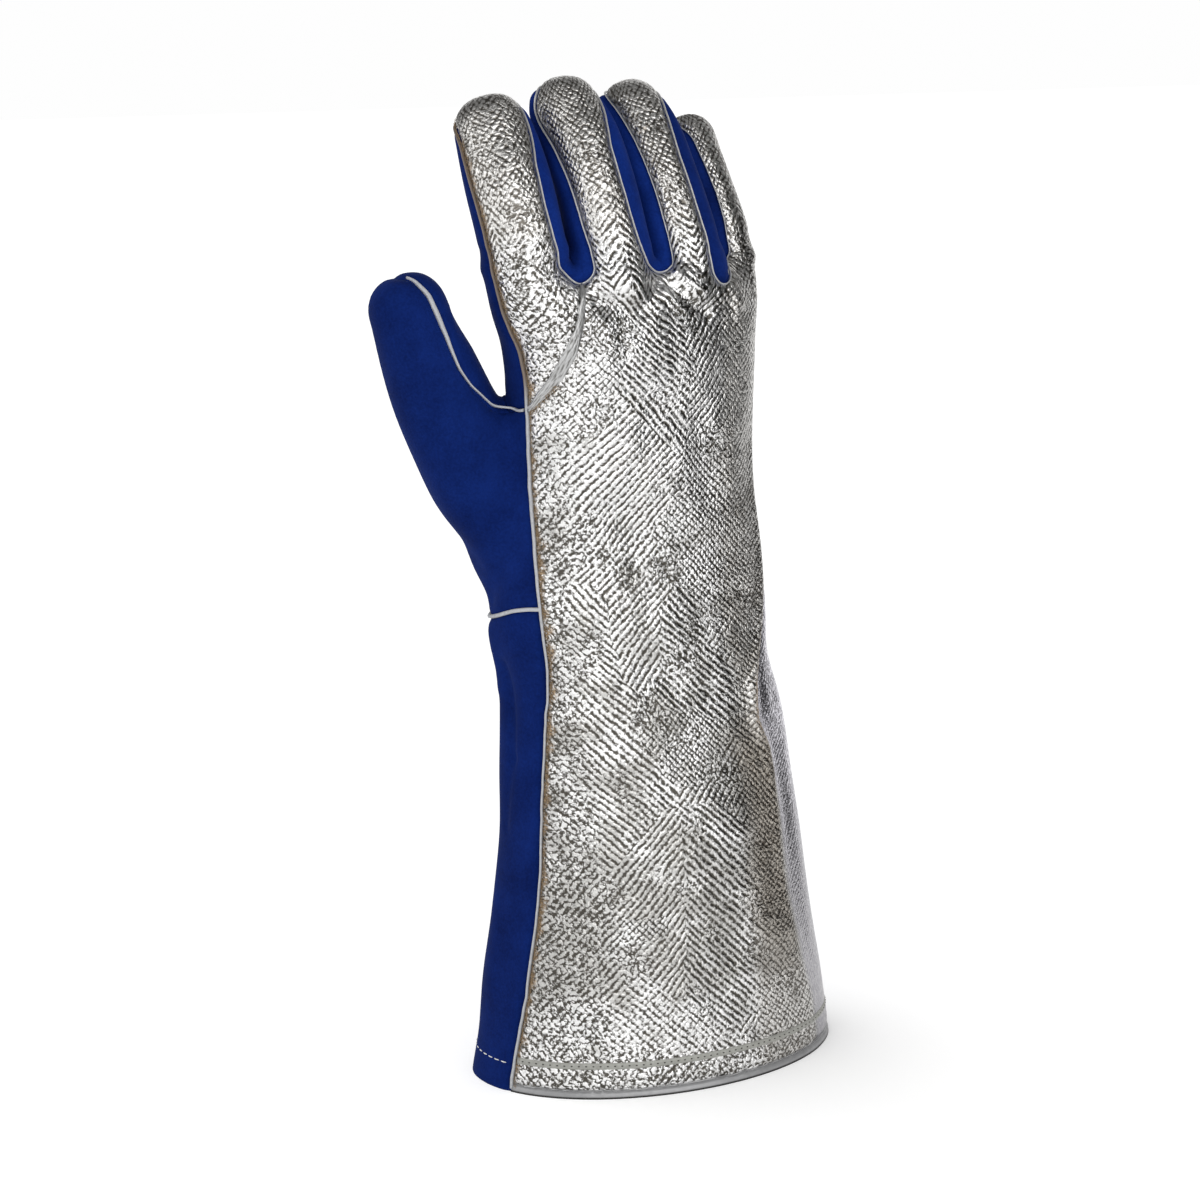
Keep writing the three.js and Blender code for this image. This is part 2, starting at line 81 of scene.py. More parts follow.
# Fingers and thumb: x, y, z, half width and depth. spread holds the fingers apart while they are joined.
# The edges of the cloth on a finger: z, low and high bearing. overTip: how far it reaches over the tip.
digits = {
    "index": {
        "turn": -20, "tip": 15, "spread": -7, "overTip": 5, "tipTurn": -20,
        "rows": [(-61, -9, 338, 15.5, 17), (-63.5, -11, 354, 18, 19), (-66.5, -9, 380, 18.3, 18.5),
                 (-70, -3, 403, 18, 18), (-72.5, 5, 421, 16.3, 16.5)],
        "edges": [(356, -46, 57), (375, -52, 48), (393, -56, 42), (410, -63, 45), (421, -70, 62),
                  (436, -80, 80)],
    },
    "middle": {
        "turn": -12, "tip": 15, "spread": -2, "overTip": 6, "tipTurn": 50,
        "rows": [(-23.5, -11, 340, 15.5, 16.5), (-25.5, -13, 358, 17.2, 19), (-30, -10, 385, 17, 18.5),
                 (-34, -2, 409, 16.6, 17.5), (-37.5, 8, 429, 15.2, 16)],
        "edges": [(362, -34, 62), (374, -40, 42), (387, -45, 36), (403, -51, 30), (415, -64, 30),
                  (424, -84, 40), (436, -95, 70)],
    },
    "ring": {
        "turn": 2, "tip": 14, "spread": 3, "overTip": 6, "tipTurn": 45,
        "rows": [(12, -6.5, 340, 15, 15.5), (11, -8, 358, 16.3, 18), (5, -3, 385, 16.2, 17.5),
                 (0, 6, 408, 16, 17), (-4, 16, 426, 14.3, 15.5)],
        "edges": [(366, -44, 17), (384, -39, 18), (396, -39, 17), (409, -41, 17), (419, -46, 22),
                  (428, -56, 32), (436, -75, 60)],
    },
    "little": {
        "turn": 24, "tip": 13, "spread": 9, "overTip": 5, "tipTurn": 40,
        "rows": [(35, 2, 333, 11.5, 14), (36, 3, 348, 12.6, 15.5), (33.3, 7, 372, 12.6, 15),
                 (29.5, 14, 393, 12.8, 14.5), (27, 23, 411, 12, 13)],
        "edges": [(360, -39, 86), (378, -33, 86), (392, -29, 86), (404, -33, 86), (415, -40, 86),
                  (424, -60, 90)],
    },
    "thumb": {
        "turn": 0, "tip": 16, "spread": 0,
        "rows": [(-40, 4, 205, 22, 22), (-58, 6, 236, 22, 22), (-67, 6.5, 256, 22, 21), (-79, 7, 276, 24, 20),
                 (-94.5, 6, 305, 21.5, 18), (-104.5, 5, 328, 19.5, 17), (-111, 5, 347, 17.2, 15.5)],
        "edges": [(300, -178, 50), (306, -178, 36), (314, -178, 24), (324, -178, 19), (350, -178, 20),
                  (366, -178, 14)],
    },
}
fingerNames = ["index", "middle", "ring", "little"]

# How the tubes are joined and smoothed, with the box in which the knuckles get finer triangles
form = {
    "voxel": 1.5, "square": 2.3, "domeEnd": 86, "domeBluntness": 0.75, "domeRings": 9,
    "spreadFrom": 363, "spreadOver": 12, "smoothing": 5, "steps": (0.5, -0.52),
    "joinSmoothing": 40, "joinStep": 0.6, "joinWidth": 5,
    "knuckleHeight": 353, "knuckleSpread": 22, "knuckleShare": 1.6, "thumbSide": -95, "fieldSmoothing": 8,
    "finerBox": {"low": 332, "high": 372, "front": -12, "left": -72}, "footFade": 20,
}

# Broad dents and swells of the cuff and hand: z, bearing, depth, height and width in degrees
bodyDents = [
    (160, 58, 2.5, 45, 12),
    (186, 76, 3.2, 22, 22),
    (290, 66, 0.6, 45, 14),
    (238, -5, 3, 24, 28),
    (325, 8, -2, 14, 34),
    (175, -84, 1.8, 30, 9),
    (90, -12, -2, 50, 30),
]

# Pleats and mounds on the back of the hand: x and z of both ends, height and width
backFolds = [
    (-31, 361, -24, 358, 3.0, 8),
    (0, 359, 8, 354, 2.2, 7),
    (27, 353, 31, 347, 1.8, 6),
    (-60, 352, -62, 344, 1.4, 9),
    (-45.5, 360, -38, 351.5, -1.9, 3.4),
    (-40, 351, -20, 347, -1.8, 4.2),
    (-10, 358, -19, 347, -1.2, 3.8),
    (-4, 357, 13, 343, -1.5, 3.4),
    (-2, 361, 10, 347, 0.6, 1.5),
    (-3, 362, 12, 353, 0.6, 1.4),
    (-3, 363, 12, 359, 0.5, 1.3),
    (-8, 354, 2, 344.5, 0.6, 1.7),
    (-2, 367, 8, 366, -0.8, 1.5),
    (25.5, 350, 28, 338, -0.5, 2.0),
    (-15, 345, -12, 326, 1.2, 13),
    (-45, 350, -47, 338, -1.3, 3.5),
    (-41, 345, -36, 333, 1.0, 4),
    (-33, 262, -22, 252, -1.6, 9),
    (-48, 296, -30, 288, 1.2, 12),
    (8, 300, 14, 262, -1.4, 8),
    (-30, 224, -44, 214, 1.1, 11),
    (-18, 190, 6, 176, -1.3, 10),
    (-52, 170, -36, 150, 1.1, 12),
    (0, 130, 22, 112, 1.3, 12),
    (-50, 104, -30, 92, -1.3, 12),
    (-8, 78, 18, 62, -1.2, 13),
    (34, 84, 46, 58, 1.0, 9),
    (-62, 58, -46, 44, 1.0, 12),
]

# The cloth folded over along the outer side: z, bearing, how far the ridge stands out and its width
sideFold = [
    (330, 64, 0.3, 5), (285, 64, 0.8, 4.5), (244, 62, 1.3, 4.2), (220, 58, 1.7, 4), (203, 53, 1.9, 3.8),
    (190, 45, 2.1, 3.6), (178, 38.5, 2.2, 3.6), (168, 35.5, 2.2, 3.6), (160, 35, 2.1, 3.6),
    (153, 38, 1.9, 3.6), (146, 41.5, 1.6, 3.7), (134, 43, 1.4, 3.8), (117, 43.5, 1.1, 4),
    (100, 42, 0.9, 4.2), (78, 41, 0.8, 4.6), (50, 43, 0.6, 5), (22, 49, 0.3, 6),
]
besideFold = {"across": 9, "depth": 1.05, "width": 7, "from": 30, "to": 300, "fade": 40}

# How near the body's surface a fold shows, and how soon it fades where the cloth turns away
foldReach = {"proud": 8, "facing": 2.5, "ratio": 1.3}

# Creases of the leather: z and bearing of both ends, height and width
leatherFolds = [
    (192, -88, 150, -82, -1.2, 3.5),
    (150, -82, 118, -88, -0.9, 3.5),
    (205, -97, 180, -100, 0.9, 6),
    (262, -118, 236, -104, -1.2, 7),
    (236, -84, 222, -96, -1.1, 5),
    (80, -92, 44, -84, 0.8, 7),
    (300, 160, 290, -160, -1.5, 6),
    (322, 170, 316, -165, -1.2, 4),
    (240, 150, 230, -170, -1.4, 8),
    (120, 165, 96, -160, -1.3, 12),
]

# Slow, shallow unevenness of stuffed leather and cloth: number of waves, their lengths and the height
swells = {"count": 26, "lengths": (26, 60), "height": 0.11}

# Where the panels meet: heights and bearings, and between two fingers the names, the slot's bottom and radius
seams = {
    "wrist": 212, "wristRise": 8, "wristTurn": -108, "wristOver": 50,
    "web": 304, "webBearing": -88, "webFrom": -80, "webTurn": -95, "webOver": 18,
    "webDrop": 1, "webRise": 4, "webClear": 2,
    "ulnar": 106, "hemTop": 3.4, "thumbRoot": -118, "thumbClear": 1.2, "sideLap": 2,
    "turnFrom": 308, "turnOver": 48, "turnPast": 12, "turnLeft": -60,
    "reach": 1.22, "overrun": 5, "far": 30, "least": 4, "tipFrom": 2, "tipOver": 8,
    "crotchTallness": 1.1, "crotchBlend": 4.5, "crotchLean": 0.2, "crotchLong": 7, "crotchBack": 9,
    "stripEnd": 122, "stripLap": 30, "stripBelow": 2, "stripRoom": 2.5, "indexTop": 366,
    "crotch": [("index", "middle", -46.6, 365.5, 5.5), ("middle", "ring", -8, 367.5, 5),
               ("ring", "little", 23, 361, 5.4)],
    "knuckle": [(-44, 368), (-46.5, 356), (-48, 346), (-51.5, 336), (-56, 326), (-62, 315), (-70, 303)],
}


def placeInScene(name, data):
    made = bpy.data.objects.new(name, data)
    bpy.context.scene.collection.objects.link(made)
    return made


def smooth(value):
    # from 0 to 1 with level ends
    share = np.clip(value, 0, 1)
    return share * share * (3 - 2 * share)


def around(bearing):
    # the same bearing between -180 and 180
    return (bearing + 180) % 360 - 180


def lengthsAlong(path):
    return np.concatenate([[0], np.cumsum(np.linalg.norm(np.diff(path, axis=0), axis=1))])


def sidesOf(faces):
    return np.concatenate([faces[:, [0, 1]], faces[:, [1, 2]], faces[:, [2, 0]]])


def ringFaces(first, rings, sides, flipped=False):
    # the faces between rings of points that start at the first point
    made = []
    for r in range(rings - 1):
        for k in range(sides):
            a, b = first + r * sides + k, first + r * sides + (k + 1) % sides
            made.append((a, a + sides, b + sides, b) if flipped else (a, b, b + sides, a + sides))
    return made


def rowsAt(rows, places):
    # smooth values between the rows of a table, for every column
    rows = np.array(rows, float)
    places = np.atleast_1d(places).astype(float)
    last = len(rows) - 1
    first = np.clip(np.floor(places).astype(int), 0, last - 1)
    share = (places - first)[:, None]
    a, b, c, d = (rows[np.clip(first + k, 0, last)] for k in (-1, 0, 1, 2))
    bend = (2 * a - 5 * b + 4 * c - d) * share ** 2 + (3 * b - a - 3 * c + d) * share ** 3
    return b + 0.5 * ((c - a) * share + bend)


def unit(vectors):
    return vectors / np.maximum(np.linalg.norm(vectors, axis=-1, keepdims=True), 1e-9)


def signedPower(values, power):
    return np.sign(values) * np.abs(values) ** power


def bodyTube(count=240):
    places = np.linspace(0, len(bodyRows) - 1, count)
    row = rowsAt(bodyRows, places)
    turn = np.radians(row[:, 6])
    zero = np.zeros_like(turn)
    return {
        "centre": row[:, [1, 2, 0]],
        "along": np.column_stack([zero, zero, zero + 1]),
        "across": np.column_stack([np.cos(turn), np.sin(turn), zero]),
        "out": np.column_stack([np.sin(turn), -np.cos(turn), zero]),
        "halfWidth": row[:, 3], "front": row[:, 4], "back": row[:, 5],
        "square": row[:, 7], "side": row[:, 8], "isBody": True,
    }


def digitTube(digit, count=90):
    last = len(digit["rows"]) - 1
    places = np.linspace(0, last, count)
    row = rowsAt(digit["rows"], places)
    step = 0.01
    along = unit(rowsAt(digit["rows"], np.minimum(places + step, last))[:, :3]
                 - rowsAt(digit["rows"], np.maximum(places - step, 0))[:, :3])
    turn = math.radians(digit["turn"])
    sideways = np.array([math.cos(turn), math.sin(turn), 0])
    across = unit(sideways - along * (along @ sideways)[:, None])
    return {
        "centre": row[:, :3], "along": along, "across": across, "out": np.cross(across, along),
        "halfWidth": row[:, 3], "front": row[:, 4], "back": row[:, 4],
        "square": np.full(count, form["square"]), "isBody": False,
    }


def dentsAt(z, bearing):
    total = np.zeros_like(z)
    for dentZ, dentBearing, depth, height, spread in bodyDents:
        total += depth * np.exp(-((z - dentZ) / height) ** 2 - ((bearing - dentBearing) / spread) ** 2)
    return total


def ringPoints(tube, k, bearing, scale=1.0, reach=0.0):
    angle = np.radians(bearing)
    power = 2 / tube["square"][k]
    depth = np.where(np.cos(angle) > 0, tube["front"][k], tube["back"][k])
    grown = -dentsAt(np.full_like(angle, tube["centre"][k][2]), bearing) if tube["isBody"] else 0
    sideways = signedPower(np.sin(angle), power) * (tube["halfWidth"][k] + grown) * scale
    facing = signedPower(np.cos(angle), power) * (depth + grown) * scale
    return (tube["centre"][k] + reach * tube["along"][k]
            + sideways[:, None] * tube["across"][k] + facing[:, None] * tube["out"][k])


def domeShare(step):
    # how wide and how high a ring of a digit's blunt dome is
    angle = math.radians(form["domeEnd"]) * step / form["domeRings"]
    return math.cos(angle) ** form["domeBluntness"], math.sin(angle)


def closedTube(tube, sides, tip):
    # rings of points from end to end, with a blunt dome on top, closed by a point at each end
    bearings = -180 + 360 * np.arange(sides) / sides
    rings = [ringPoints(tube, k, bearings) for k in range(0, len(tube["centre"]), 2)]
    for step in range(1, form["domeRings"] + 1):
        wide, high = domeShare(step)
        rings.append(ringPoints(tube, len(tube["centre"]) - 1, bearings, wide, high * tip))
    points = np.concatenate(rings + [rings[0].mean(0)[None], rings[-1].mean(0)[None]])
    faces = ringFaces(0, len(rings), sides)
    top = (len(rings) - 1) * sides
    for k in range(sides):
        after = (k + 1) % sides
        faces.append((len(points) - 2, after, k))
        faces.append((len(points) - 1, top + k, top + after))
    return points, faces


def spreadAmount(z):
    return smooth((z - form["spreadFrom"]) / form["spreadOver"])


def placeOn(tube, points):
    # each point's place along a tube, its bearing round it, and how far it stands out of the surface
    centre, along = tube["centre"], tube["along"]
    last = len(centre) - 1
    if tube["isBody"]:
        index = np.interp(points[:, 2], centre[:, 2], np.arange(len(centre)))
        k = np.clip(np.round(index).astype(int), 0, last)
    else:
        coarse = np.arange(0, len(centre), 3)
        gaps = np.stack([((points - centre[c]) ** 2).sum(1) for c in coarse])
        k = coarse[np.argmin(gaps, axis=0)]
    spacing = np.linalg.norm(np.diff(centre, axis=0), axis=1).mean()
    for _ in range(3):
        ahead = ((points - centre[k]) * along[k]).sum(1)
        k = np.clip(k + np.round(ahead / spacing).astype(int), 0, last)
    offset = points - centre[k]
    ahead, sideways, facing = ((offset * tube[way][k]).sum(1) for way in ("along", "across", "out"))
    wide = sideways / tube["halfWidth"][k]
    deep = facing / np.where(facing > 0, tube["front"][k], tube["back"][k])
    square = tube["square"][k]
    bearing = np.degrees(np.arctan2(signedPower(wide, square / 2), signedPower(deep, square / 2)))
    ratio = (np.abs(wide) ** square + np.abs(deep) ** square) ** (1 / square)
    girth = (tube["halfWidth"][k] + tube["front"][k]) / 2
    return {"k": k, "ahead": ahead, "bearing": bearing, "ratio": ratio, "girth": girth, "facing": facing,
            "sideways": sideways, "proud": (ratio - 1) * girth}


tubes = {"body": bodyTube()}
for name, digit in digits.items():
    tubes[name] = digitTube(digit)


def joinedForm():
    # the tubes are made one closed surface by a voxel remesh, with the fingers held apart meanwhile
    points, faces = [], []
    for name, tube in tubes.items():
        sides, tip = (200, 3) if tube["isBody"] else (72, digits[name]["tip"])
        tubePoints, tubeFaces = closedTube(tube, sides, tip)
        if not tube["isBody"]:
            tubePoints[:, 0] += digits[name]["spread"] * spreadAmount(tubePoints[:, 2])
        first = sum(len(p) for p in points)
        points.append(tubePoints)
        faces += [tuple(v + first for v in face) for face in tubeFaces]
    mesh = bpy.data.meshes.new("joined_form")
    mesh.from_pydata(np.concatenate(points).tolist(), [], faces)
    joined = placeInScene("joined_form", mesh)
    bpy.ops.object.select_all(action="DESELECT")
    joined.select_set(True)
    bpy.context.view_layer.objects.active = joined
    bpy.ops.object.mode_set(mode="EDIT")
    bpy.ops.mesh.select_all(action="SELECT")
    bpy.ops.mesh.normals_make_consistent(inside=False)
    bpy.ops.object.mode_set(mode="OBJECT")
    remesh = joined.modifiers.new("voxels", "REMESH")
    remesh.mode = "VOXEL"
    remesh.voxel_size = form["voxel"]
    bpy.ops.object.modifier_apply(modifier="voxels")
    joined.data.calc_loop_triangles()
    points = np.empty(len(joined.data.vertices) * 3)
    joined.data.vertices.foreach_get("co", points)
    faces = np.empty(len(joined.data.loop_triangles) * 3, int)
    joined.data.loop_triangles.foreach_get("vertices", faces)
    bpy.data.objects.remove(joined)
    return points.reshape(-1, 3), faces.reshape(-1, 3)


def edgesOf(faces):
    return np.unique(np.sort(sidesOf(faces), axis=1), axis=0)


def neighbourMean(points, edges):
    count = np.bincount(edges.ravel(), minlength=len(points))[:, None]
    total = np.zeros_like(points)
    for axis in range(points.shape[1]):
        total[:, axis] = (np.bincount(edges[:, 0], points[edges[:, 1], axis], len(points))
                          + np.bincount(edges[:, 1], points[edges[:, 0], axis], len(points)))
    return total / np.maximum(count, 1)


def normalsOf(points, faces):
    corners = points[faces]
    flat = np.cross(corners[:, 1] - corners[:, 0], corners[:, 2] - corners[:, 0])
    total = np.zeros_like(points)
    for corner in range(3):
        for axis in range(3):
            total[:, axis] += np.bincount(faces[:, corner], flat[:, axis], len(points))
    return unit(total)


def spreadTube(name):
    # a digit's tube where it stands while the fingers are held apart
    tube = dict(tubes[name])
    if not tube["isBody"]:
        tube["centre"] = tube["centre"].copy()
        tube["centre"][:, 0] += digits[name]["spread"] * spreadAmount(tube["centre"][:, 2])
    return tube


def smoothForm(points, faces):
    # smoothed all over without shrinking, more so at the joins, and the fingers brought back together
    edges = edgesOf(faces)
    for _ in range(form["smoothing"]):
        for step in form["steps"]:
            points = points + step * (neighbourMean(points, edges) - points)
    proud = np.sort(np.stack([placeOn(spreadTube(name), points)["proud"] for name in tubes]), axis=0)
    weight = np.exp(-(np.maximum(proud[1], 0) / form["joinWidth"]) ** 2)
    level = np.abs(points[:, 2] - form["knuckleHeight"]) / form["knuckleSpread"]
    onKnuckles = np.clip(form["knuckleShare"] - form["knuckleShare"] * level, 0, 1)
    onKnuckles = onKnuckles * (points[:, 0] > form["thumbSide"])
    weight = np.maximum(weight, onKnuckles)[:, None]
    for _ in range(form["joinSmoothing"]):
        points = points + form["joinStep"] * weight * (neighbourMean(points, edges) - points)
    proud = np.stack([placeOn(spreadTube(name), points)["proud"] for name in fingerNames])
    nearness = 1 / (np.abs(proud) + 0.5) ** 3
    nearness /= nearness.sum(0)
    spread = sum(digits[name]["spread"] * nearness[k] for k, name in enumerate(fingerNames))
    points[:, 0] -= spread * spreadAmount(points[:, 2])
    return points, faces


def refined(points, faces, chosen):
    # the chosen triangles are cut in four at their edges' middles, and their neighbours to match
    edges = edgesOf(faces[chosen])
    size = len(points)
    code = edges[:, 0] * size + edges[:, 1]

    def middleOf(a, b):
        wanted = np.minimum(a, b) * size + np.maximum(a, b)
        at = np.clip(np.searchsorted(code, wanted), 0, len(code) - 1)
        return np.where(code[at] == wanted, size + at, -1)

    a, b, c = faces.T
    ab, bc, ca = middleOf(a, b), middleOf(b, c), middleOf(c, a)
    marked = (ab >= 0).astype(int) + (bc >= 0) + (ca >= 0)
    fresh = [faces[marked == 0]]
    for trio in ((a, ab, ca), (ab, b, bc), (ca, bc, c), (ab, bc, ca)):
        fresh.append(np.column_stack(trio)[marked == 3])
    for start, across, end, first, second, third in ((a, b, c, ab, bc, ca), (b, c, a, bc, ca, ab),
                                                     (c, a, b, ca, ab, bc)):
        one = (marked == 1) & (first >= 0)
        two = (marked == 2) & (third < 0)
        for pick, trios in ((one, ((start, first, end), (first, across, end))),
                            (two, ((start, first, end), (first, across, second), (first, second, end)))):
            fresh += [np.column_stack(trio)[pick] for trio in trios]
    return np.concatenate([points, points[edges].mean(1)]), np.concatenate(fresh)


def foldAlong(across, up, fold):
    # a ridge or a groove along a straight line, fading out at both ends
    x0, z0, x1, z1, height, width = fold
    along = np.array([x1 - x0, z1 - z0], float)
    length = np.linalg.norm(along)
    share = ((across - x0) * along[0] + (up - z0) * along[1]) / length ** 2
    nearest = np.clip(share, 0, 1)
    gap = np.hypot(across - x0 - nearest * along[0], up - z0 - nearest * along[1])
    beyond = np.abs(share - nearest) * length
    return height * np.exp(-(gap / width) ** 2) * np.exp(-(beyond / (1.5 * width)) ** 2)


def besideRidge(place, z):
    # how far a point lies beyond the side fold, round the body, and the fold's height and width there
    rows = np.array(sideFold[::-1], float)
    ridge, out, width = (np.interp(z, rows[:, 0], rows[:, k]) for k in (1, 2, 3))
    return np.radians(place["bearing"] - ridge) * place["girth"], out, width


def foldHeights(points, normals):
    place = placeOn(tubes["body"], points)
    x, z = points[:, 0], points[:, 2]
    facing = np.clip(-normals[:, 1] * foldReach["facing"], 0, 1)
    height = sum(foldAlong(x, z, fold) for fold in backFolds) * facing
    away, out, width = besideRidge(place, z)
    near = np.exp(-(place["proud"] / foldReach["proud"]) ** 2)
    height = height + out * np.exp(-(away / width) ** 2) * near
    side = besideFold
    level = np.clip(np.minimum(z - side["from"], side["to"] - z) / side["fade"], 0, 1)
    hollow = np.exp(-((away - side["across"]) / side["width"]) ** 2)
    height = height - side["depth"] * out * level * near * hollow
    onHand = near * (place["ratio"] < foldReach["ratio"])
    degree = np.radians(1) * place["girth"]
    for z0, low, z1, high, amount, spread in leatherFolds:
        # the line runs the short way round from the first bearing to the second
        across = around(place["bearing"] - low) * degree
        height = height + onHand * foldAlong(across, z, (0, z0, around(high - low) * 0.9, z1, amount, spread))
    return height


def softSwells(points, seed=11):
    rng = np.random.default_rng(seed)
    total = np.zeros(len(points))
    longest = swells["lengths"][1]
    for _ in range(swells["count"]):
        direction = unit(rng.normal(size=3) * (1, 1, 0.8))
        wavelength = rng.uniform(*swells["lengths"])
        phase = points @ direction * 2 * np.pi / wavelength + rng.uniform(0, 6.28)
        total += np.sin(phase) * wavelength / longest
    return total * swells["height"]


# The edges of the panels, as signed distances in millimetres that are positive inside a panel's region

def aroundTube(place, tube, low, high, endRoom, startRoom=None):
    away = np.abs(around(place["bearing"] - (low + high) / 2))
    value = np.radians((high - low) / 2 - away) * np.maximum(place["girth"], seams["least"])
    value = np.minimum(value, (seams["reach"] - place["ratio"]) * place["girth"])
    last = len(tube["centre"]) - 1
    value = np.where(place["k"] == last, np.minimum(value, endRoom - place["ahead"]), value)
    if startRoom is not None:
        value = np.where(place["k"] == 0, np.minimum(value, startRoom + place["ahead"]), value)
    return value


def wristAt(bearing):
    # the wrist seam climbs a little towards the thumb-side seam
    share = (bearing - seams["wristTurn"]) / seams["wristOver"]
    return seams["wrist"] + seams["wristRise"] * smooth(share) * (bearing < 0)


def webAt(bearing):
    # the seam over the thumb's web drops a little from the side seam to the thumb
    share = np.clip((bearing - seams["webTurn"]) / seams["webOver"], 0, 1)
    return seams["web"] - seams["webDrop"] + seams["webRise"] * share


def regionFields(points):
    at = {name: placeOn(tube, points) for name, tube in tubes.items()}
    x, z = points[:, 0], points[:, 2]
    body, over = at["body"], seams["overrun"]

    def onBody(low, high):
        return aroundTube(body, tubes["body"], low, high, over)

    def edgesAt(name):
        rows = np.array(digits[name]["edges"], float)
        return np.interp(z, rows[:, 0], rows[:, 1]), np.interp(z, rows[:, 0], rows[:, 2])

    def onDigit(name, low, high):
        return aroundTube(at[name], tubes[name], low, high, digits[name]["tip"] + over, over)

    def within(place):
        return (seams["reach"] - place["ratio"]) * place["girth"]

    def clothOn(name):
        # between the seams of the finger, and all over the front of its tip
        place, digit = at[name], digits[name]
        onTip = place["k"] == len(tubes[name]["centre"]) - 1
        share = np.clip((place["ahead"] - seams["tipFrom"]) / seams["tipOver"], 0, 1) * onTip
        turn = math.radians(digit["tipTurn"])
        ahead = place["facing"] * math.cos(turn) + place["sideways"] * math.sin(turn)
        room = np.minimum(ahead + digit["overTip"], within(place))
        return onDigit(name, *edgesAt(name)) * (1 - share) + room * share

    rounds, wider = {}, {}
    for left, right, cx, cz, radius in seams["crotch"]:
        rise = np.clip(z - cz, 0, seams["crotchLong"])
        across, up = x - cx + seams["crotchLean"] * rise, z - cz - rise
        disc = (1 - np.hypot(across / radius, up / (seams["crotchTallness"] * radius))) * radius
        rounds[left] = np.minimum(disc, seams["crotchBack"] - points[:, 1])
        wider[left] = np.minimum(disc + seams["stripRoom"], seams["crotchBack"] - points[:, 1])
    allRounds = np.max(np.stack(list(rounds.values())), axis=0)
    side = tubes["body"]["side"][body["k"]]
    back = onBody(side, seams["ulnar"])
    for name in fingerNames:
        back = np.maximum(back, clothOn(name))
    # the thumb-side seam passes smoothly from the hand to the index finger
    past = z - seams["turnFrom"]
    share = smooth(past / seams["turnOver"])
    handSide = np.radians(body["bearing"] - side) * body["girth"]
    fingerSide = np.radians(at["index"]["bearing"] - edgesAt("index")[0]) * at["index"]["girth"]
    turning = (past > 0) & (past < seams["turnOver"] + seams["turnPast"]) & (x < seams["turnLeft"])
    back = np.where(turning, handSide * (1 - share) + fingerSide * share, back)
    # the bottom of a slot runs smoothly into its sides
    overlap = np.clip(1 - np.abs(back + allRounds) / seams["crotchBlend"], 0, 1)
    knuckle = np.array(seams["knuckle"][::-1], float)
    seamX = np.interp(z, knuckle[:, 1], knuckle[:, 0])
    nearer = at["middle"]["proud"] - at["index"]["proud"] + np.maximum(seams["indexTop"] - z, 0)
    onHand = z - seams["wrist"]
    root = np.minimum(onBody(np.full_like(x, seams["thumbRoot"]), side + seams["sideLap"]),
                      webAt(body["bearing"]) - z)
    front = np.minimum(within(at["thumb"]), body["proud"] - seams["thumbClear"])
    fields = {
        "back": np.minimum(back, -allRounds) - 0.25 * overlap * overlap * seams["crotchBlend"],
        "index": np.minimum(np.minimum(seamX - x, z - knuckle[0, 1] + 2), nearer),
        "hem": seams["hemTop"] - z,
        "cuff": wristAt(body["bearing"]) - z,
        "thumb": np.minimum(np.maximum(onDigit("thumb", *edgesAt("thumb")), root), onHand),
        "thumbFront": np.minimum(front, onHand),
    }
    for left, right, cx, cz, radius in seams["crotch"]:
        strips = np.maximum(onDigit(left, edgesAt(left)[1] - seams["stripLap"], seams["stripEnd"]),
                            onDigit(right, -seams["stripEnd"], edgesAt(right)[0] + seams["stripLap"]))
        fields["strip_" + left] = np.maximum(np.minimum(strips, z - cz + seams["stripBelow"]), wider[left])
    return fields


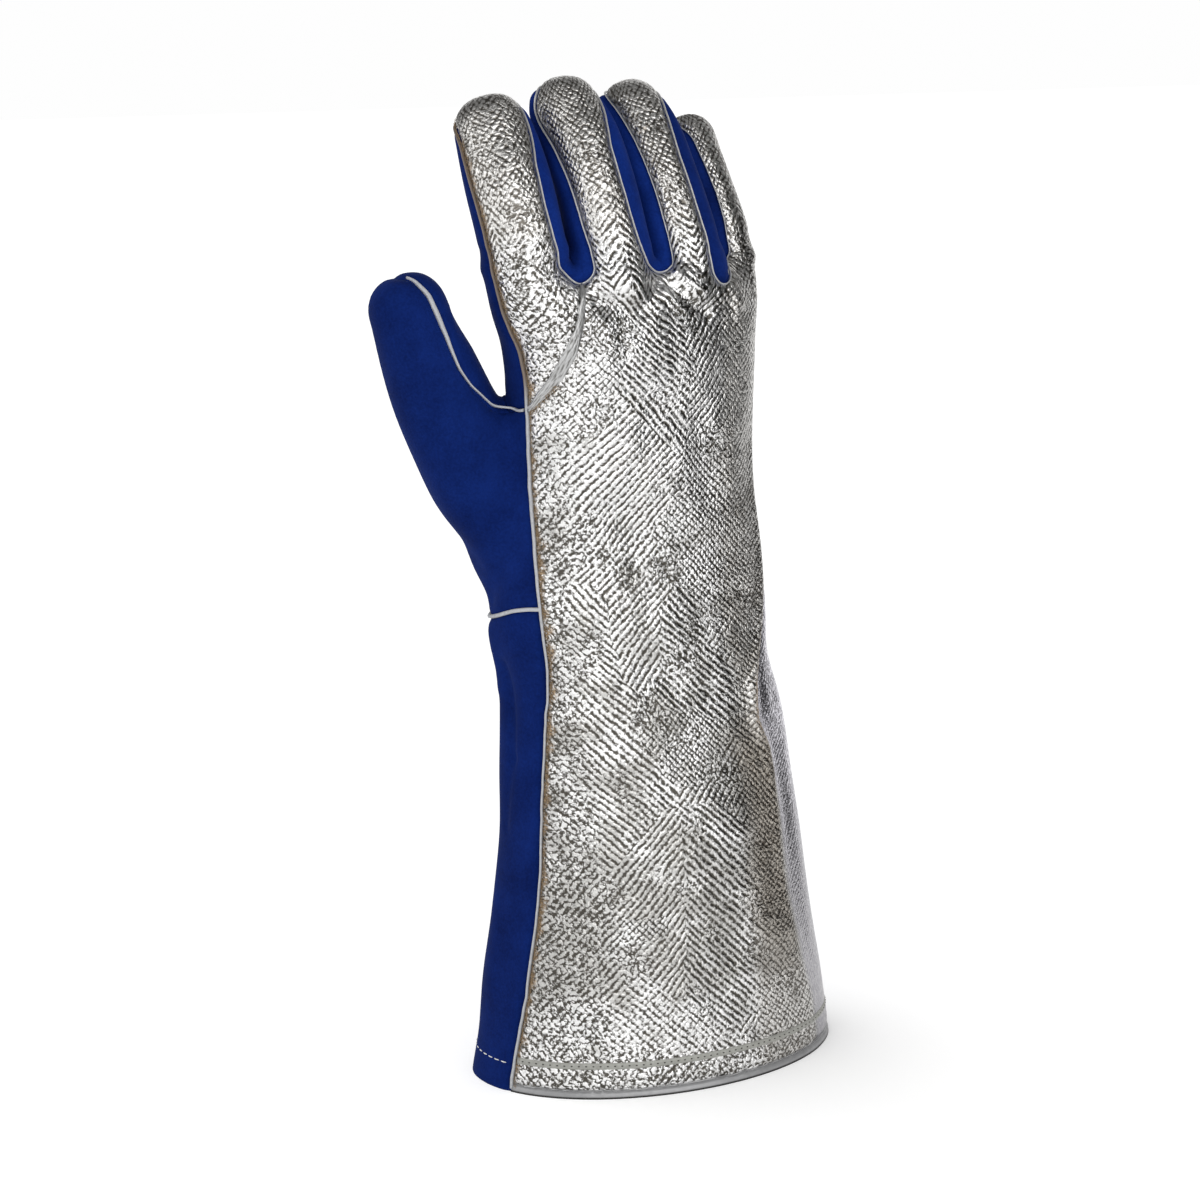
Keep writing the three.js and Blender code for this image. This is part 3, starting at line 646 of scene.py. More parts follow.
class Cutter:
    # the form's points, triangles, their labels and the fields at each point, split along the seams
    def __init__(self, points, faces, fields):
        self.points = points
        self.faces = faces
        self.labels = np.zeros(len(faces), int)
        self.names = list(fields)
        self.fields = np.column_stack([fields[name] for name in self.names])

    def column(self, name):
        return self.fields[:, self.names.index(name)]

    def cut(self, name, chosen, inside, snap=0.12):
        values = self.column(name).copy()
        values[np.abs(values) < snap] = 0
        self.fields[:, self.names.index(name)] = values
        pick = self.labels == chosen
        work, rest = self.faces[pick], self.faces[~pick]
        signs = np.sign(values[work])
        up, down = (signs > 0).sum(1), (signs < 0).sum(1)
        crossing = (up > 0) & (down > 0)
        whole, split = work[~crossing], work[crossing]
        signs, up, down = signs[crossing], up[crossing], down[crossing]
        through = (up == 1) & (down == 1)
        lone = np.where(up == 1, (signs > 0).argmax(1), (signs < 0).argmax(1))
        lone = np.where(through, (signs == 0).argmax(1), lone)
        turned = np.take_along_axis(split, (lone[:, None] + np.arange(3)) % 3, axis=1)
        a, b, c = turned.T
        pairs = np.concatenate([np.column_stack([b, c])[through],
                                np.column_stack([a, b])[~through], np.column_stack([a, c])[~through]])
        pairs = np.sort(pairs, axis=1)
        ends, where = np.unique(pairs, axis=0, return_inverse=True)
        where = where.ravel()
        first, second = values[ends[:, 0]], values[ends[:, 1]]
        share = (first / (first - second))[:, None]
        start = len(self.points)
        self.points = np.concatenate([self.points, self.points[ends[:, 0]] * (1 - share)
                                      + self.points[ends[:, 1]] * share])
        mixed = self.fields[ends[:, 0]] * (1 - share) + self.fields[ends[:, 1]] * share
        mixed[:, self.names.index(name)] = 0
        self.fields = np.concatenate([self.fields, mixed])
        nThrough, nCorner = int(through.sum()), int((~through).sum())
        bc = start + where[:nThrough]
        ab = start + where[nThrough:nThrough + nCorner]
        ac = start + where[nThrough + nCorner:]
        at, bt, ct = a[through], b[through], c[through]
        an, bn, cn = a[~through], b[~through], c[~through]
        fresh = np.concatenate([
            np.column_stack([at, bt, bc]), np.column_stack([at, bc, ct]),
            np.column_stack([an, ab, ac]), np.column_stack([ab, bn, cn]), np.column_stack([ab, cn, ac])])
        made = np.concatenate([whole, fresh])
        total = self.column(name)[made].sum(1)
        self.faces = np.concatenate([rest, made])
        self.labels = np.concatenate([self.labels[~pick], np.where(total > 0, inside, chosen)])


print("joining the tubes")
points, faces = smoothForm(*joinedForm())
centres = points[faces].mean(1)
finer = form["finerBox"]
knuckles = ((centres[:, 2] > finer["low"]) & (centres[:, 2] < finer["high"])
            & (centres[:, 1] < finer["front"]) & (centres[:, 0] > finer["left"]))
points, faces = refined(points, faces, knuckles)
flatNormals = normalsOf(points, faces)
heights = foldHeights(points, flatNormals) + softSwells(points)
heights *= np.clip(points[:, 2] / form["footFade"], 0, 1)
points = points + flatNormals * heights[:, None]
print("form:", len(points), "points", len(faces), "triangles")

# Labels of the panels, and how they are cut: by which field, out of what, into what
panelNames = [
    "palm", "back_panel", "index_back", "hem_edge", "fourchette_index_middle", "fourchette_middle_ring",
    "fourchette_ring_little", "cuff_leather", "thumb_back", "thumb_front", "below",
]
panelLabels = {name: label for label, name in enumerate(panelNames)}
cuts = [
    ("below", "palm", "below"), ("back", "palm", "back_panel"), ("hem", "back_panel", "hem_edge"),
    ("index", "back_panel", "index_back"), ("strip_index", "palm", "fourchette_index_middle"),
    ("strip_middle", "palm", "fourchette_middle_ring"), ("strip_ring", "palm", "fourchette_ring_little"),
    ("cuff", "palm", "cuff_leather"), ("thumb", "palm", "thumb_back"), ("thumbFront", "palm", "thumb_front"),
]


def cutPanels(points, faces):
    fields = regionFields(points)
    edges = edgesOf(faces)
    for name, values in fields.items():
        column = np.clip(values, -seams["far"], seams["far"])[:, None]
        for _ in range(form["fieldSmoothing"]):
            column = 0.5 * column + 0.5 * neighbourMean(column, edges)
        fields[name] = column[:, 0]
    fields["below"] = -points[:, 2]
    cutter = Cutter(points, faces, fields)
    for field, source, made in cuts:
        cutter.cut(field, panelLabels[source], panelLabels[made])
    keep = cutter.labels != panelLabels["below"]
    return cutter.points, cutter.faces[keep], cutter.labels[keep]


points, faces, labels = cutPanels(points, faces)
for name, label in panelLabels.items():
    print(name, int((labels == label).sum()), "triangles")

normals = normalsOf(points, faces)
surface = BVHTree.FromPolygons(points.tolist(), faces.tolist())
placed = {name: placeOn(tube, points) for name, tube in tubes.items()}


def valuesAt(name, used):
    # the chosen points' places on a tube
    return {key: value[used] for key, value in placed[name].items()}


def boundaryOf(panelFaces):
    # the directed edges that only one triangle has
    pairs = sidesOf(panelFaces)
    size = panelFaces.max() + 1
    mirrored = pairs[:, 1] * size + pairs[:, 0]
    return pairs[~np.isin(pairs[:, 0] * size + pairs[:, 1], mirrored)]


def distanceTo(marks, places):
    tree = KDTree(len(marks))
    for k, mark in enumerate(marks):
        tree.insert(mark, k)
    tree.balance()
    return np.array([tree.find(place)[2] for place in places])


def bodyArc():
    # arc length round the cuff and hand, from the middle of the back, for each height and bearing
    bearings = np.linspace(-180, 180, 181)
    table = []
    for k in range(len(tubes["body"]["centre"])):
        length = lengthsAlong(ringPoints(tubes["body"], k, bearings))
        table.append(length - length[90])
    return np.array(table)


# Where the cloth's coordinates pass from the hand to the fingers, and the points that line them up
clothLay = {"from": 345, "over": 18, "blend": 1.4, "rootHeight": 352, "rootReach": 6, "rootTurn": 60}


def clothCoordinates(used):
    # the cloth lies flat on the hand and runs on along each finger: across and up, in millimetres
    arc, onBody = bodyArc(), valuesAt("body", used)
    k, column = onBody["k"], (onBody["bearing"] + 180) / 2
    low = np.clip(column.astype(int), 0, 179)
    across = arc[k, low] + (arc[k, low + 1] - arc[k, low]) * (column - low)
    up = points[used, 2].copy()
    proud = np.stack([placed[name]["proud"][used] for name in fingerNames])
    nearest = proud.argmin(0)
    weights = np.exp(-(proud - proud.min(0)) / clothLay["blend"])
    weights /= weights.sum(0)
    share = smooth((up - clothLay["from"]) / clothLay["over"])
    handAcross, handUp = across * (1 - share), up * (1 - share)
    for number, name in enumerate(fingerNames):
        own, centre = valuesAt(name, used), tubes[name]["centre"]
        fingerUp = centre[0][2] + lengthsAlong(centre)[own["k"]] + own["ahead"]
        fingerAcross = np.radians(own["bearing"]) * own["girth"]
        root = ((nearest == number) & (np.abs(up - clothLay["rootHeight"]) < clothLay["rootReach"])
                & (np.abs(own["bearing"]) < clothLay["rootTurn"]))
        if root.any():
            fingerAcross += np.median((across - fingerAcross)[root])
            fingerUp += np.median((up - fingerUp)[root])
        handAcross += weights[number] * share * fingerAcross
        handUp += weights[number] * share * fingerUp
    return handAcross, handUp


def makeMesh(name, meshPoints, meshFaces):
    mesh = bpy.data.meshes.new(name)
    mesh.from_pydata(toRow(meshPoints).tolist(), [], [tuple(face) for face in meshFaces])
    mesh.polygons.foreach_set("use_smooth", [True] * len(mesh.polygons))
    return placeInScene(name, mesh)


def addUv(piece, across, up):
    # one texture unit is a millimetre of cloth
    layer = piece.data.uv_layers.new(name="cloth")
    corner = np.empty(len(piece.data.loops), int)
    piece.data.loops.foreach_get("vertex_index", corner)
    layer.data.foreach_set("uv", np.column_stack([across[corner], up[corner]]).ravel())


def addAttribute(piece, name, values):
    attribute = piece.data.attributes.new(name, "FLOAT", "POINT")
    attribute.data.foreach_set("value", np.asarray(values, np.float32))


def panelFaces(*names):
    return faces[np.isin(labels, [panelLabels[name] for name in names])]


def orderedLoop(edge, start):
    after = {}
    for a, b in edge:
        after.setdefault(int(a), []).append(int(b))
    loop = [start]
    while True:
        options = after.get(loop[-1], [])
        if not options:
            break
        step = options.pop()
        if step == start:
            break
        loop.append(step)
    return np.array(loop)


def between(marks, length, values):
    # the values where a line has come the marked lengths
    return np.stack([np.interp(marks, length, values[:, axis]) for axis in range(3)], axis=-1)


def evenly(path, spacing):
    # the same line with points an even distance apart
    length = lengthsAlong(path)
    count = max(int(round(length[-1] / spacing)), 2)
    return between(np.linspace(0, length[-1], count + 1), length, path)


def eased(path, rounds):
    for _ in range(rounds):
        path = path.copy()
        path[1:-1] = 0.5 * path[1:-1] + 0.25 * (path[:-2] + path[2:])
    return path


def onSurface(path):
    # each point moved to the nearest place on the glove, with the outward direction there
    places, outs = [], []
    for point in path:
        place, normal, _, _ = surface.find_nearest(Vector(point))
        places.append(place)
        outs.append(normal)
    return np.array(places), unit(eased(np.array(outs), 6))


# Seam lines: the cloth's whole edge, from the hem's thumb-side corner over the fingers to the other corner
seamStep = 1.2
footReach = {"corner": 0.3, "seamFrom": 1, "rimFrom": 0.6}
pastTip = (-6, 2, digits["index"]["tip"])
clothEdge = boundaryOf(panelFaces("back_panel", "index_back", "hem_edge"))
foot = np.unique(clothEdge)
foot = foot[points[foot, 2] < footReach["corner"]]
edgeLoop = orderedLoop(clothEdge, int(foot[points[foot, 0].argmin()]))
print("cloth edge:", len(edgeLoop), "points of", len(clothEdge))
loopPath = points[edgeLoop]
tipPlace = int(np.linalg.norm(loopPath - (tubes["index"]["centre"][-1] + pastTip), axis=1).argmin())
thumbSide = eased(evenly(loopPath[tipPlace:][::-1], seamStep), 40)
thumbSide = thumbSide[thumbSide[:, 2] > footReach["seamFrom"]]
sideSeamDistance = distanceTo(thumbSide, points)

# Where the foil has gone from the cloth, where its outer side is smooth and gets a painted reflection of the
# backdrop, and where it gets a painted shade with a brown tint
wear = {
    "onFold": 0.95, "foldWidth": 1.3, "foldFrom": 1.2, "foldProud": 9, "seamReach": 2.5, "seamDrift": 4,
    "tips": 0.3, "tipsMost": 0.7, "tipsFrom": 385, "tipsOver": 25, "tipsWidth": 2.2,
}
outerFace = {"top": 330, "fade": 40, "from": 1, "over": 4}
brownShadeZone = {"amount": 0.9, "top": 165, "fade": 20, "foot": 35, "rise": 45, "from": -24, "over": 12}


def wornAt(used):
    # how far the foil has gone from the cloth and shows its tan backing
    z = points[used, 2]
    place = valuesAt("body", used)
    away, out, _ = besideRidge(place, z)
    onFold = (wear["onFold"] * np.exp(-(away / wear["foldWidth"]) ** 2)
              * np.clip(out - wear["foldFrom"], 0, 1) * (np.abs(place["proud"]) < wear["foldProud"]))
    reach = wear["seamReach"] + wear["seamDrift"] * softSwells(points[used] * 5, 8)
    seamBand = np.exp(-(sideSeamDistance[used] / reach) ** 6)
    spots = softSwells(points[used] * 3, 5) / swells["height"]
    onTips = (np.clip(spots * wear["tips"], 0, wear["tipsMost"])
              * np.clip((z - wear["tipsFrom"]) / wear["tipsOver"], 0, 1)
              * np.exp(-(away / wear["tipsWidth"]) ** 2))
    return np.clip(np.maximum(np.maximum(onFold, seamBand), onTips), 0, 1)


def sideFaceAt(used):
    # the smooth outer side beyond the fold, where the foil material paints a reflection of the pale backdrop
    # and painted shade low on the cuff
    away, _, _ = besideRidge(valuesAt("body", used), points[used, 2])
    level = np.clip((outerFace["top"] - points[used, 2]) / outerFace["fade"], 0, 1)
    return np.clip((away - outerFace["from"]) / outerFace["over"], 0, 1) * level


def brownShadeAt(used):
    # the cloth just in front of the fold, low on the cuff, painted darker: a painted shade with a brown tint
    z = points[used, 2]
    away, _, _ = besideRidge(valuesAt("body", used), z)
    level = (np.clip((brownShadeZone["top"] - z) / brownShadeZone["fade"], 0, 1)
             * np.clip((z - brownShadeZone["foot"]) / brownShadeZone["rise"], 0, 1))
    return (brownShadeZone["amount"] * level * np.clip((away - brownShadeZone["from"]) / brownShadeZone["over"], 0, 1)
            * np.clip(0.5 - away / 2, 0, 1))


puckers = {"pitch": 3.4, "depth": 0.28, "width": 2.8, "unevenness": 0.45, "drift": 2.5, "driftLength": 9}
swellingWidth = 3.5


def panelPiece(name, panel):
    # a panel with its edges rolled in towards the seams, closed with an inner wall
    used, own = np.unique(faces[labels == panelLabels[name]], return_inverse=True)
    own = own.reshape(-1, 3)
    outer, normal = points[used], normals[used]
    edge = boundaryOf(own)
    rim = np.unique(edge)
    away = distanceTo(outer[rim[outer[rim, 2] > footReach["rimFrom"]]], outer)
    outer = outer + normal * (panel["swelling"] * (1 - np.exp(-(away / swellingWidth) ** 2)))[:, None]
    phase = 2 * np.pi * outer[:, 2] / puckers["pitch"]
    phase = phase + puckers["drift"] * np.sin(outer[:, 2] / puckers["driftLength"])
    pull = 1 + puckers["unevenness"] * np.sin(phase)
    outer = outer - normal * (panel["rollDepth"] * np.exp(-(away / panel["rollWidth"]) ** 2))[:, None]
    outer = outer - normal * (puckers["depth"] * pull * np.exp(-(away / puckers["width"]) ** 2))[:, None]
    inner = outer - normal * panel["wall"]
    inner[:, 2] = np.maximum(inner[:, 2], 0)
    count = len(outer)
    a, b = edge.T
    walls = np.concatenate([np.column_stack([b, a, a + count]), np.column_stack([b, a + count, b + count])])
    allFaces = np.concatenate([own, own[:, ::-1] + count, walls])
    piece = makeMesh("sewn_" + name, np.concatenate([outer, inner]), allFaces)
    addAttribute(piece, "seamDistance", np.tile(away, 2))
    if panel["onCloth"]:
        addAttribute(piece, "worn", np.tile(wornAt(used), 2))
        addAttribute(piece, "sideFace", np.tile(sideFaceAt(used), 2))
        addAttribute(piece, "brownShade", np.tile(brownShadeAt(used), 2))
        across, up = clothCoordinates(used)
        addUv(piece, np.tile(across, 2), np.tile(up, 2))
    return piece


clothPanel = {
    "wall": 1.6, "rollDepth": 1.0, "rollWidth": 1.7, "swelling": 0, "onCloth": True,
    "slot": "aluminized_cloth",
}
leatherPanel = {
    "wall": 2, "rollDepth": 1.2, "rollWidth": 2.2, "swelling": 0, "onCloth": False,
    "slot": "blue_split_leather",
}
thumbPanel = {**leatherPanel, "rollDepth": 0.7, "rollWidth": 1.8}
stripPanel = {**leatherPanel, "wall": 1.1, "rollDepth": 1.0, "rollWidth": 1.8, "swelling": 1.3}
panels = {
    "back_panel": clothPanel,
    "index_back": clothPanel,
    "hem_edge": {**clothPanel, "rollDepth": 0.5, "rollWidth": 0.8, "slot": "hem_binding"},
    "cuff_leather": leatherPanel,
    "palm": leatherPanel,
    "thumb_back": thumbPanel,
    "thumb_front": thumbPanel,
    "fourchette_index_middle": stripPanel,
    "fourchette_middle_ring": stripPanel,
    "fourchette_ring_little": stripPanel,
}


def cappedFaces(first, rings, sides):
    last = first + (rings - 1) * sides
    caps = [tuple(range(first, first + sides)), tuple(range(last + sides - 1, last - 1, -1))]
    return ringFaces(first, rings, sides, True) + caps


def ribbonPiece(name, path, outs, profile, wobble=0.0, seed=1, widths=(1, 1)):
    # a strip with the given section laid along a line on the glove; a section point is across and out
    rng = np.random.default_rng(seed)
    along = unit(np.gradient(path, axis=0))
    across = unit(np.cross(along, outs))
    out = unit(np.cross(across, along))
    girth = np.interp(np.linspace(0, 1, len(path)), np.linspace(0, 1, len(widths)), widths)
    knots = np.arange(0, len(path) + 4, 4)
    drift = np.interp(np.arange(len(path)), knots, rng.normal(0, wobble, len(knots)))
    profile = np.array(profile, float)
    sideways = profile[:, 0] * girth[:, None] + drift[:, None]
    upwards = profile[:, 1] * np.sqrt(girth)[:, None]
    rings = path[:, None] + across[:, None] * sideways[..., None] + out[:, None] * upwards[..., None]
    piece = makeMesh(name, rings.reshape(-1, 3), cappedFaces(0, len(path), len(profile)))
    addUv(piece, np.tile(profile[:, 0], len(path)), np.repeat(lengthsAlong(path), len(profile)))
    return piece


def roundedStrip(halfWidth, proud, sunk, steps=7):
    # a section with a rounded top and a flat foot
    angles = np.linspace(0, math.pi, steps)
    top = [(halfWidth * math.cos(a), proud * math.sin(a) ** 0.8) for a in angles]
    return [(-halfWidth, -sunk), (halfWidth, -sunk)] + top


def stitchesPiece(name, path, outs, stitch):
    # separate stitches laid end to end along a line, each a little hump of thread
    length = lengthsAlong(path)
    starts = np.arange(stitch["gap"], length[-1] - stitch["length"], stitch["length"] + stitch["gap"])
    along = unit(np.gradient(path, axis=0))
    sides, rings = 6, 6
    threadPoints, threadFaces = [], []
    for start in starts:
        threadFaces += cappedFaces(len(threadPoints), rings, sides)
        for r in range(rings):
            share = r / (rings - 1)
            mark = start + stitch["length"] * share
            centre, way, out = (between(mark, length, values) for values in (path, along, outs))
            across = np.cross(way, out)
            rise = stitch["rise"] * math.sin(math.pi * share) - stitch["sunk"]
            radius = stitch["radius"] * (0.55 + 0.45 * math.sin(math.pi * share))
            for k in range(sides):
                angle = 2 * math.pi * k / sides
                threadPoints.append(centre + out * (rise + radius * math.sin(angle))
                                    + across * radius * math.cos(angle))
    return makeMesh(name, np.array(threadPoints), threadFaces)


def bodyPoint(z, bearing):
    k = int(np.abs(tubes["body"]["centre"][:, 2] - z).argmin())
    return ringPoints(tubes["body"], k, np.array([bearing], float))[0]


def alongBody(levels, low, high):
    # a line round the body, through the levels given, which are evenly spread between the bearings
    bearings = np.linspace(low, high, len(levels))
    line = np.array([bodyPoint(z, bearing) for z, bearing in zip(levels, bearings)])
    line[:, 2] = levels
    return line


def thumbLine():
    # over the web and up the thumb to its tip
    tube, rows = tubes["thumb"], np.array(digits["thumb"]["edges"], float)
    centre = tube["centre"]
    edge = np.interp(centre[:, 2], rows[:, 0], rows[:, 2])
    onThumb = [ringPoints(tube, k, edge[k:k + 1])[0] for k in range(len(centre))
               if centre[k][2] > seams["web"] + seams["webClear"]]
    for step in range(1, form["domeRings"]):
        wide, high = domeShare(step)
        ring = ringPoints(tube, len(centre) - 1, edge[-1:], wide, high * digits["thumb"]["tip"])
        onThumb.append(ring[0])
    bearings = np.linspace(seams["webFrom"], seams["webBearing"], 4)
    return np.array([bodyPoint(webAt(bearing), bearing) for bearing in bearings] + onThumb)


def levelLine(z, low, high):
    # a line on the cuff at one height
    path, outs = onSurface(evenly(alongBody(np.full(200, z), low, high), 1.5))
    return eased(path, 4), outs


print("sewing the panels")
pieces = {name: panelPiece(name, panel) for name, panel in panels.items()}

wristLine = alongBody(wristAt(around(np.linspace(108, 307, 240))), 108, 307)
shared = np.intersect1d(boundaryOf(panelFaces("index_back")), boundaryOf(panelFaces("back_panel")))
knuckleLine = points[shared][np.argsort(points[shared, 2])]
welts = {
    "side_welt": {
        "path": thumbSide, "halfWidth": 0.68, "proud": 0.7, "sunk": 1.5, "wobble": 0.1,
        "widths": (0.85, 0.7, 0.62, 0.62, 0.7, 0.95, 1, 0.85, 0.5, 0.5, 0.5),
    },
    "thumb_welt": {
        "path": eased(evenly(thumbLine(), seamStep), 14), "halfWidth": 1.0, "proud": 0.6, "sunk": 1.5,
        "wobble": 0.1, "widths": (0.65, 0.45, 0.35, 0.35, 0.5, 0.8, 1.05, 0.85, 0.45),
    },
    "wrist_welt": {
        "path": evenly(wristLine, seamStep), "halfWidth": 0.85, "proud": 0.8, "sunk": 1.5, "wobble": 0.08,
        "widths": (1, 1),
    },
    "index_welt": {
        "path": eased(evenly(knuckleLine, seamStep), 20), "halfWidth": 1.6, "proud": 0.45, "sunk": 1.2,
        "wobble": 0.12, "widths": (0.8, 1.3, 1.7, 1.8, 1.4, 0.9, 0.5),
    },
}
weltLines = {}
for number, (name, welt) in enumerate(welts.items()):
    path, outs = onSurface(welt["path"])
    path = eased(path, 4)
    weltLines[name] = (path, outs)
    profile = roundedStrip(welt["halfWidth"], welt["proud"], welt["sunk"], 9)
    seed = 3 + number
    pieces[name] = ribbonPiece("sewn_" + name, path, outs, profile, welt["wobble"], seed, welt["widths"])


def fibresPiece(name, path, outs, fibres, seed):
    # short frayed threads standing out of a cut edge of the cloth
    rng = np.random.default_rng(seed)
    along = unit(np.gradient(path, axis=0))
    across = unit(np.cross(along, outs))
    threadPoints, threadFaces = [], []
    for _ in range(fibres["count"]):
        k = int(rng.integers(1, len(path) - 1))
        way = unit(across[k] * rng.uniform(0.3, 1) + along[k] * rng.normal(0, 0.7)
                   + outs[k] * rng.uniform(0.05, 0.5))
        bend = unit(rng.normal(size=3)) * rng.uniform(0, 0.4)
        length = rng.uniform(*fibres["length"])
        start = path[k] + across[k] * rng.uniform(*fibres["offset"]) + outs[k] * fibres["lift"]
        first = len(threadPoints)
        sideways = unit(np.cross(way, outs[k]))
        upright = np.cross(sideways, way)
        for share in (0, 0.4, 0.75, 1):
            centre = start + length * (way * share + bend * share * share)
            radius = fibres["radius"] * (1 - 0.6 * share)
            for angle in (0, 2.094, 4.189):
                spoke = sideways * math.cos(angle) + upright * math.sin(angle)
                threadPoints.append(centre + radius * spoke)
        threadFaces += ringFaces(first, 4, 3)
        threadFaces += [(first + 2, first + 1, first), (first + 9, first + 10, first + 11)]
    return makeMesh(name, np.array(threadPoints), threadFaces)


# Frayed threads: the welt that they stand beside, how far along its line, their number and their sizes
fraying = {
    "side_fibres": {
        "welt": "side_welt", "reach": None, "count": 1500, "length": (0.6, 1.7), "offset": (0.8, 2.0),
        "lift": -0.15, "radius": 0.11,
    },
    "index_fibres": {
        "welt": "index_welt", "reach": 16, "count": 60, "length": (1.5, 4.5), "offset": (0.4, 1.6),
        "lift": 0.1, "radius": 0.12,
    },
}
for number, (name, fibres) in enumerate(fraying.items()):
    path, outs = (line[:fibres["reach"]] for line in weltLines[fibres["welt"]])
    pieces[name] = fibresPiece(name, path, outs, fibres, 21 + number)

hemTape = {"z": 14.7, "low": -64, "high": 104, "halfWidth": 1.5, "proud": 0.35, "sunk": 0.5}
path, outs = levelLine(hemTape["z"], hemTape["low"], hemTape["high"])
tapeSection = roundedStrip(hemTape["halfWidth"], hemTape["proud"], hemTape["sunk"])
pieces["hem_tape"] = ribbonPiece("sewn_hem_tape", path, outs, tapeSection)

# the needle holes are near-black beads on the tape, painted shade in the holes
holes = {"length": 0.9, "gap": 2.3, "radius": 0.34, "rise": 0.0, "sunk": -0.28}
pieces["needle_holes"] = stitchesPiece("needle_holes", path, outs, holes)

edging = {"from": 352, "step": 0.7, "halfWidth": 0.2, "proud": 0.1, "sunk": 0.8, "wobble": 0.03}
fingerEdge = loopPath[:tipPlace]
fingerEdge = eased(evenly(fingerEdge[fingerEdge[:, 2] > edging["from"]], edging["step"]), 6)
path, outs = onSurface(fingerEdge)
edgingSection = roundedStrip(edging["halfWidth"], edging["proud"], edging["sunk"], 5)
pieces["finger_edging"] = ribbonPiece("finger_edging", path, outs, edgingSection, edging["wobble"], 17)

hemStitch = {
    "z": 12.5, "low": 108, "high": 293.5,
    "length": 3.2, "gap": 1.0, "radius": 0.28, "rise": 0.35, "sunk": 0.12,
}
path, outs = levelLine(hemStitch["z"], hemStitch["low"], hemStitch["high"])
pieces["hem_stitches"] = stitchesPiece("hem_stitches", path, outs, hemStitch)


# Materials

class Value:
    # a node's output that can be reckoned with; each step adds a node to the same tree
    def __init__(self, tree, socket):
        self.tree = tree
        self.socket = socket

    def math(self, operation, *others):
        node = addNode(self.tree, "ShaderNodeMath", operation=operation)
        setInputs(self.tree, node, dict(enumerate((self, *others))))
        return Value(self.tree, node.outputs[0])

    def __add__(self, other):
        return self.math("ADD", other)

    def __sub__(self, other):
        return self.math("SUBTRACT", other)

    def __mul__(self, other):
        return self.math("MULTIPLY", other)

    def scaled(self, factor, offset):
        return self.math("MULTIPLY_ADD", factor, offset)

    def orMore(self, other):
        return self.math("MAXIMUM", other)

    def rest(self):
        # what is left up to 1
        return self.math("MULTIPLY_ADD", -1.0, 1.0)

    def stepped(self, low, high, kind="SMOOTHSTEP"):
        # from 0 to 1 between two values
        node = addNode(self.tree, "ShaderNodeMapRange", interpolation_type=kind)
        setInputs(self.tree, node, {"Value": self, "From Min": low, "From Max": high})
        return Value(self.tree, node.outputs[0])

    def parts(self):
        node = addNode(self.tree, "ShaderNodeSeparateXYZ")
        setInputs(self.tree, node, {0: self})
        return [Value(self.tree, output) for output in node.outputs]


def setInputs(tree, node, values):
    # sockets get a number, a colour or a link, and anything else is one of the node's own settings
    for key, value in values.items():
        if value is None:
            continue
        if isinstance(value, Value):
            tree.links.new(value.socket, node.inputs[key])
        elif isinstance(key, int) or key in node.inputs:
            node.inputs[key].default_value = value
        else:
            setattr(node, key, value)


def addNode(tree, kind, **values):
    node = tree.nodes.new(kind)
    setInputs(tree, node, values)
    return node


def outputOf(tree, kind, output, **values):
    return Value(tree, addNode(tree, kind, **values).outputs[output])


def newMaterial(name, constants):
    material = bpy.data.materials.new(name)
    material.use_nodes = True
    tree = material.node_tree
    shader = tree.nodes["Principled BSDF"]
    for label, value in constants.items():
        shader.inputs[label].default_value = value
    return material, tree, shader


def mixed(share, first, second, kind="RGBA"):
    # the first where the share is 0 and the second where it is 1
    sockets, output = ((0, 6, 7), 2) if kind == "RGBA" else ((0, 2, 3), 0)
    node = addNode(share.tree, "ShaderNodeMix", data_type=kind)
    setInputs(share.tree, node, dict(zip(sockets, (share, first, second))))
    return Value(share.tree, node.outputs[output])


def newGroup(name, inputs, outputs):
    # a node group with sockets of the kinds named, and its inputs as values
    tree = bpy.data.node_groups.new(name, "ShaderNodeTree")
    for direction, sockets in (("INPUT", inputs), ("OUTPUT", outputs)):
        for label, kind in sockets.items():
            tree.interface.new_socket(label, in_out=direction, socket_type="NodeSocket" + kind)
    start = tree.nodes.new("NodeGroupInput")
    return tree, [Value(tree, start.outputs[label]) for label in inputs]


def closedGroup(tree, *given):
    # the values go to the group's outputs in their order
    setInputs(tree, tree.nodes.new("NodeGroupOutput"), dict(enumerate(given)))
    return tree


def groupIn(tree, group, **values):
    # the outputs of a group in a material, with its own values
    node = addNode(tree, "ShaderNodeGroup", node_tree=group)
    setInputs(tree, node, values)
    return [Value(tree, output) for output in node.outputs]


def noiseOf(vector, scale, detail=2.0, roughness=0.5):
    return outputOf(vector.tree, "ShaderNodeTexNoise", "Fac", Scale=scale, Detail=detail, Roughness=roughness,
                    Vector=vector)


def bumped(height, strength, distance, normal=None):
    return outputOf(height.tree, "ShaderNodeBump", 0, Strength=strength, Distance=distance, Height=height,
                    Normal=normal)


def waveOf(value, length):
    # a ridge for each length, between 0 and 1
    return (value.math("DIVIDE", length) * (2 * math.pi)).math("SINE").scaled(0.5, 0.5)


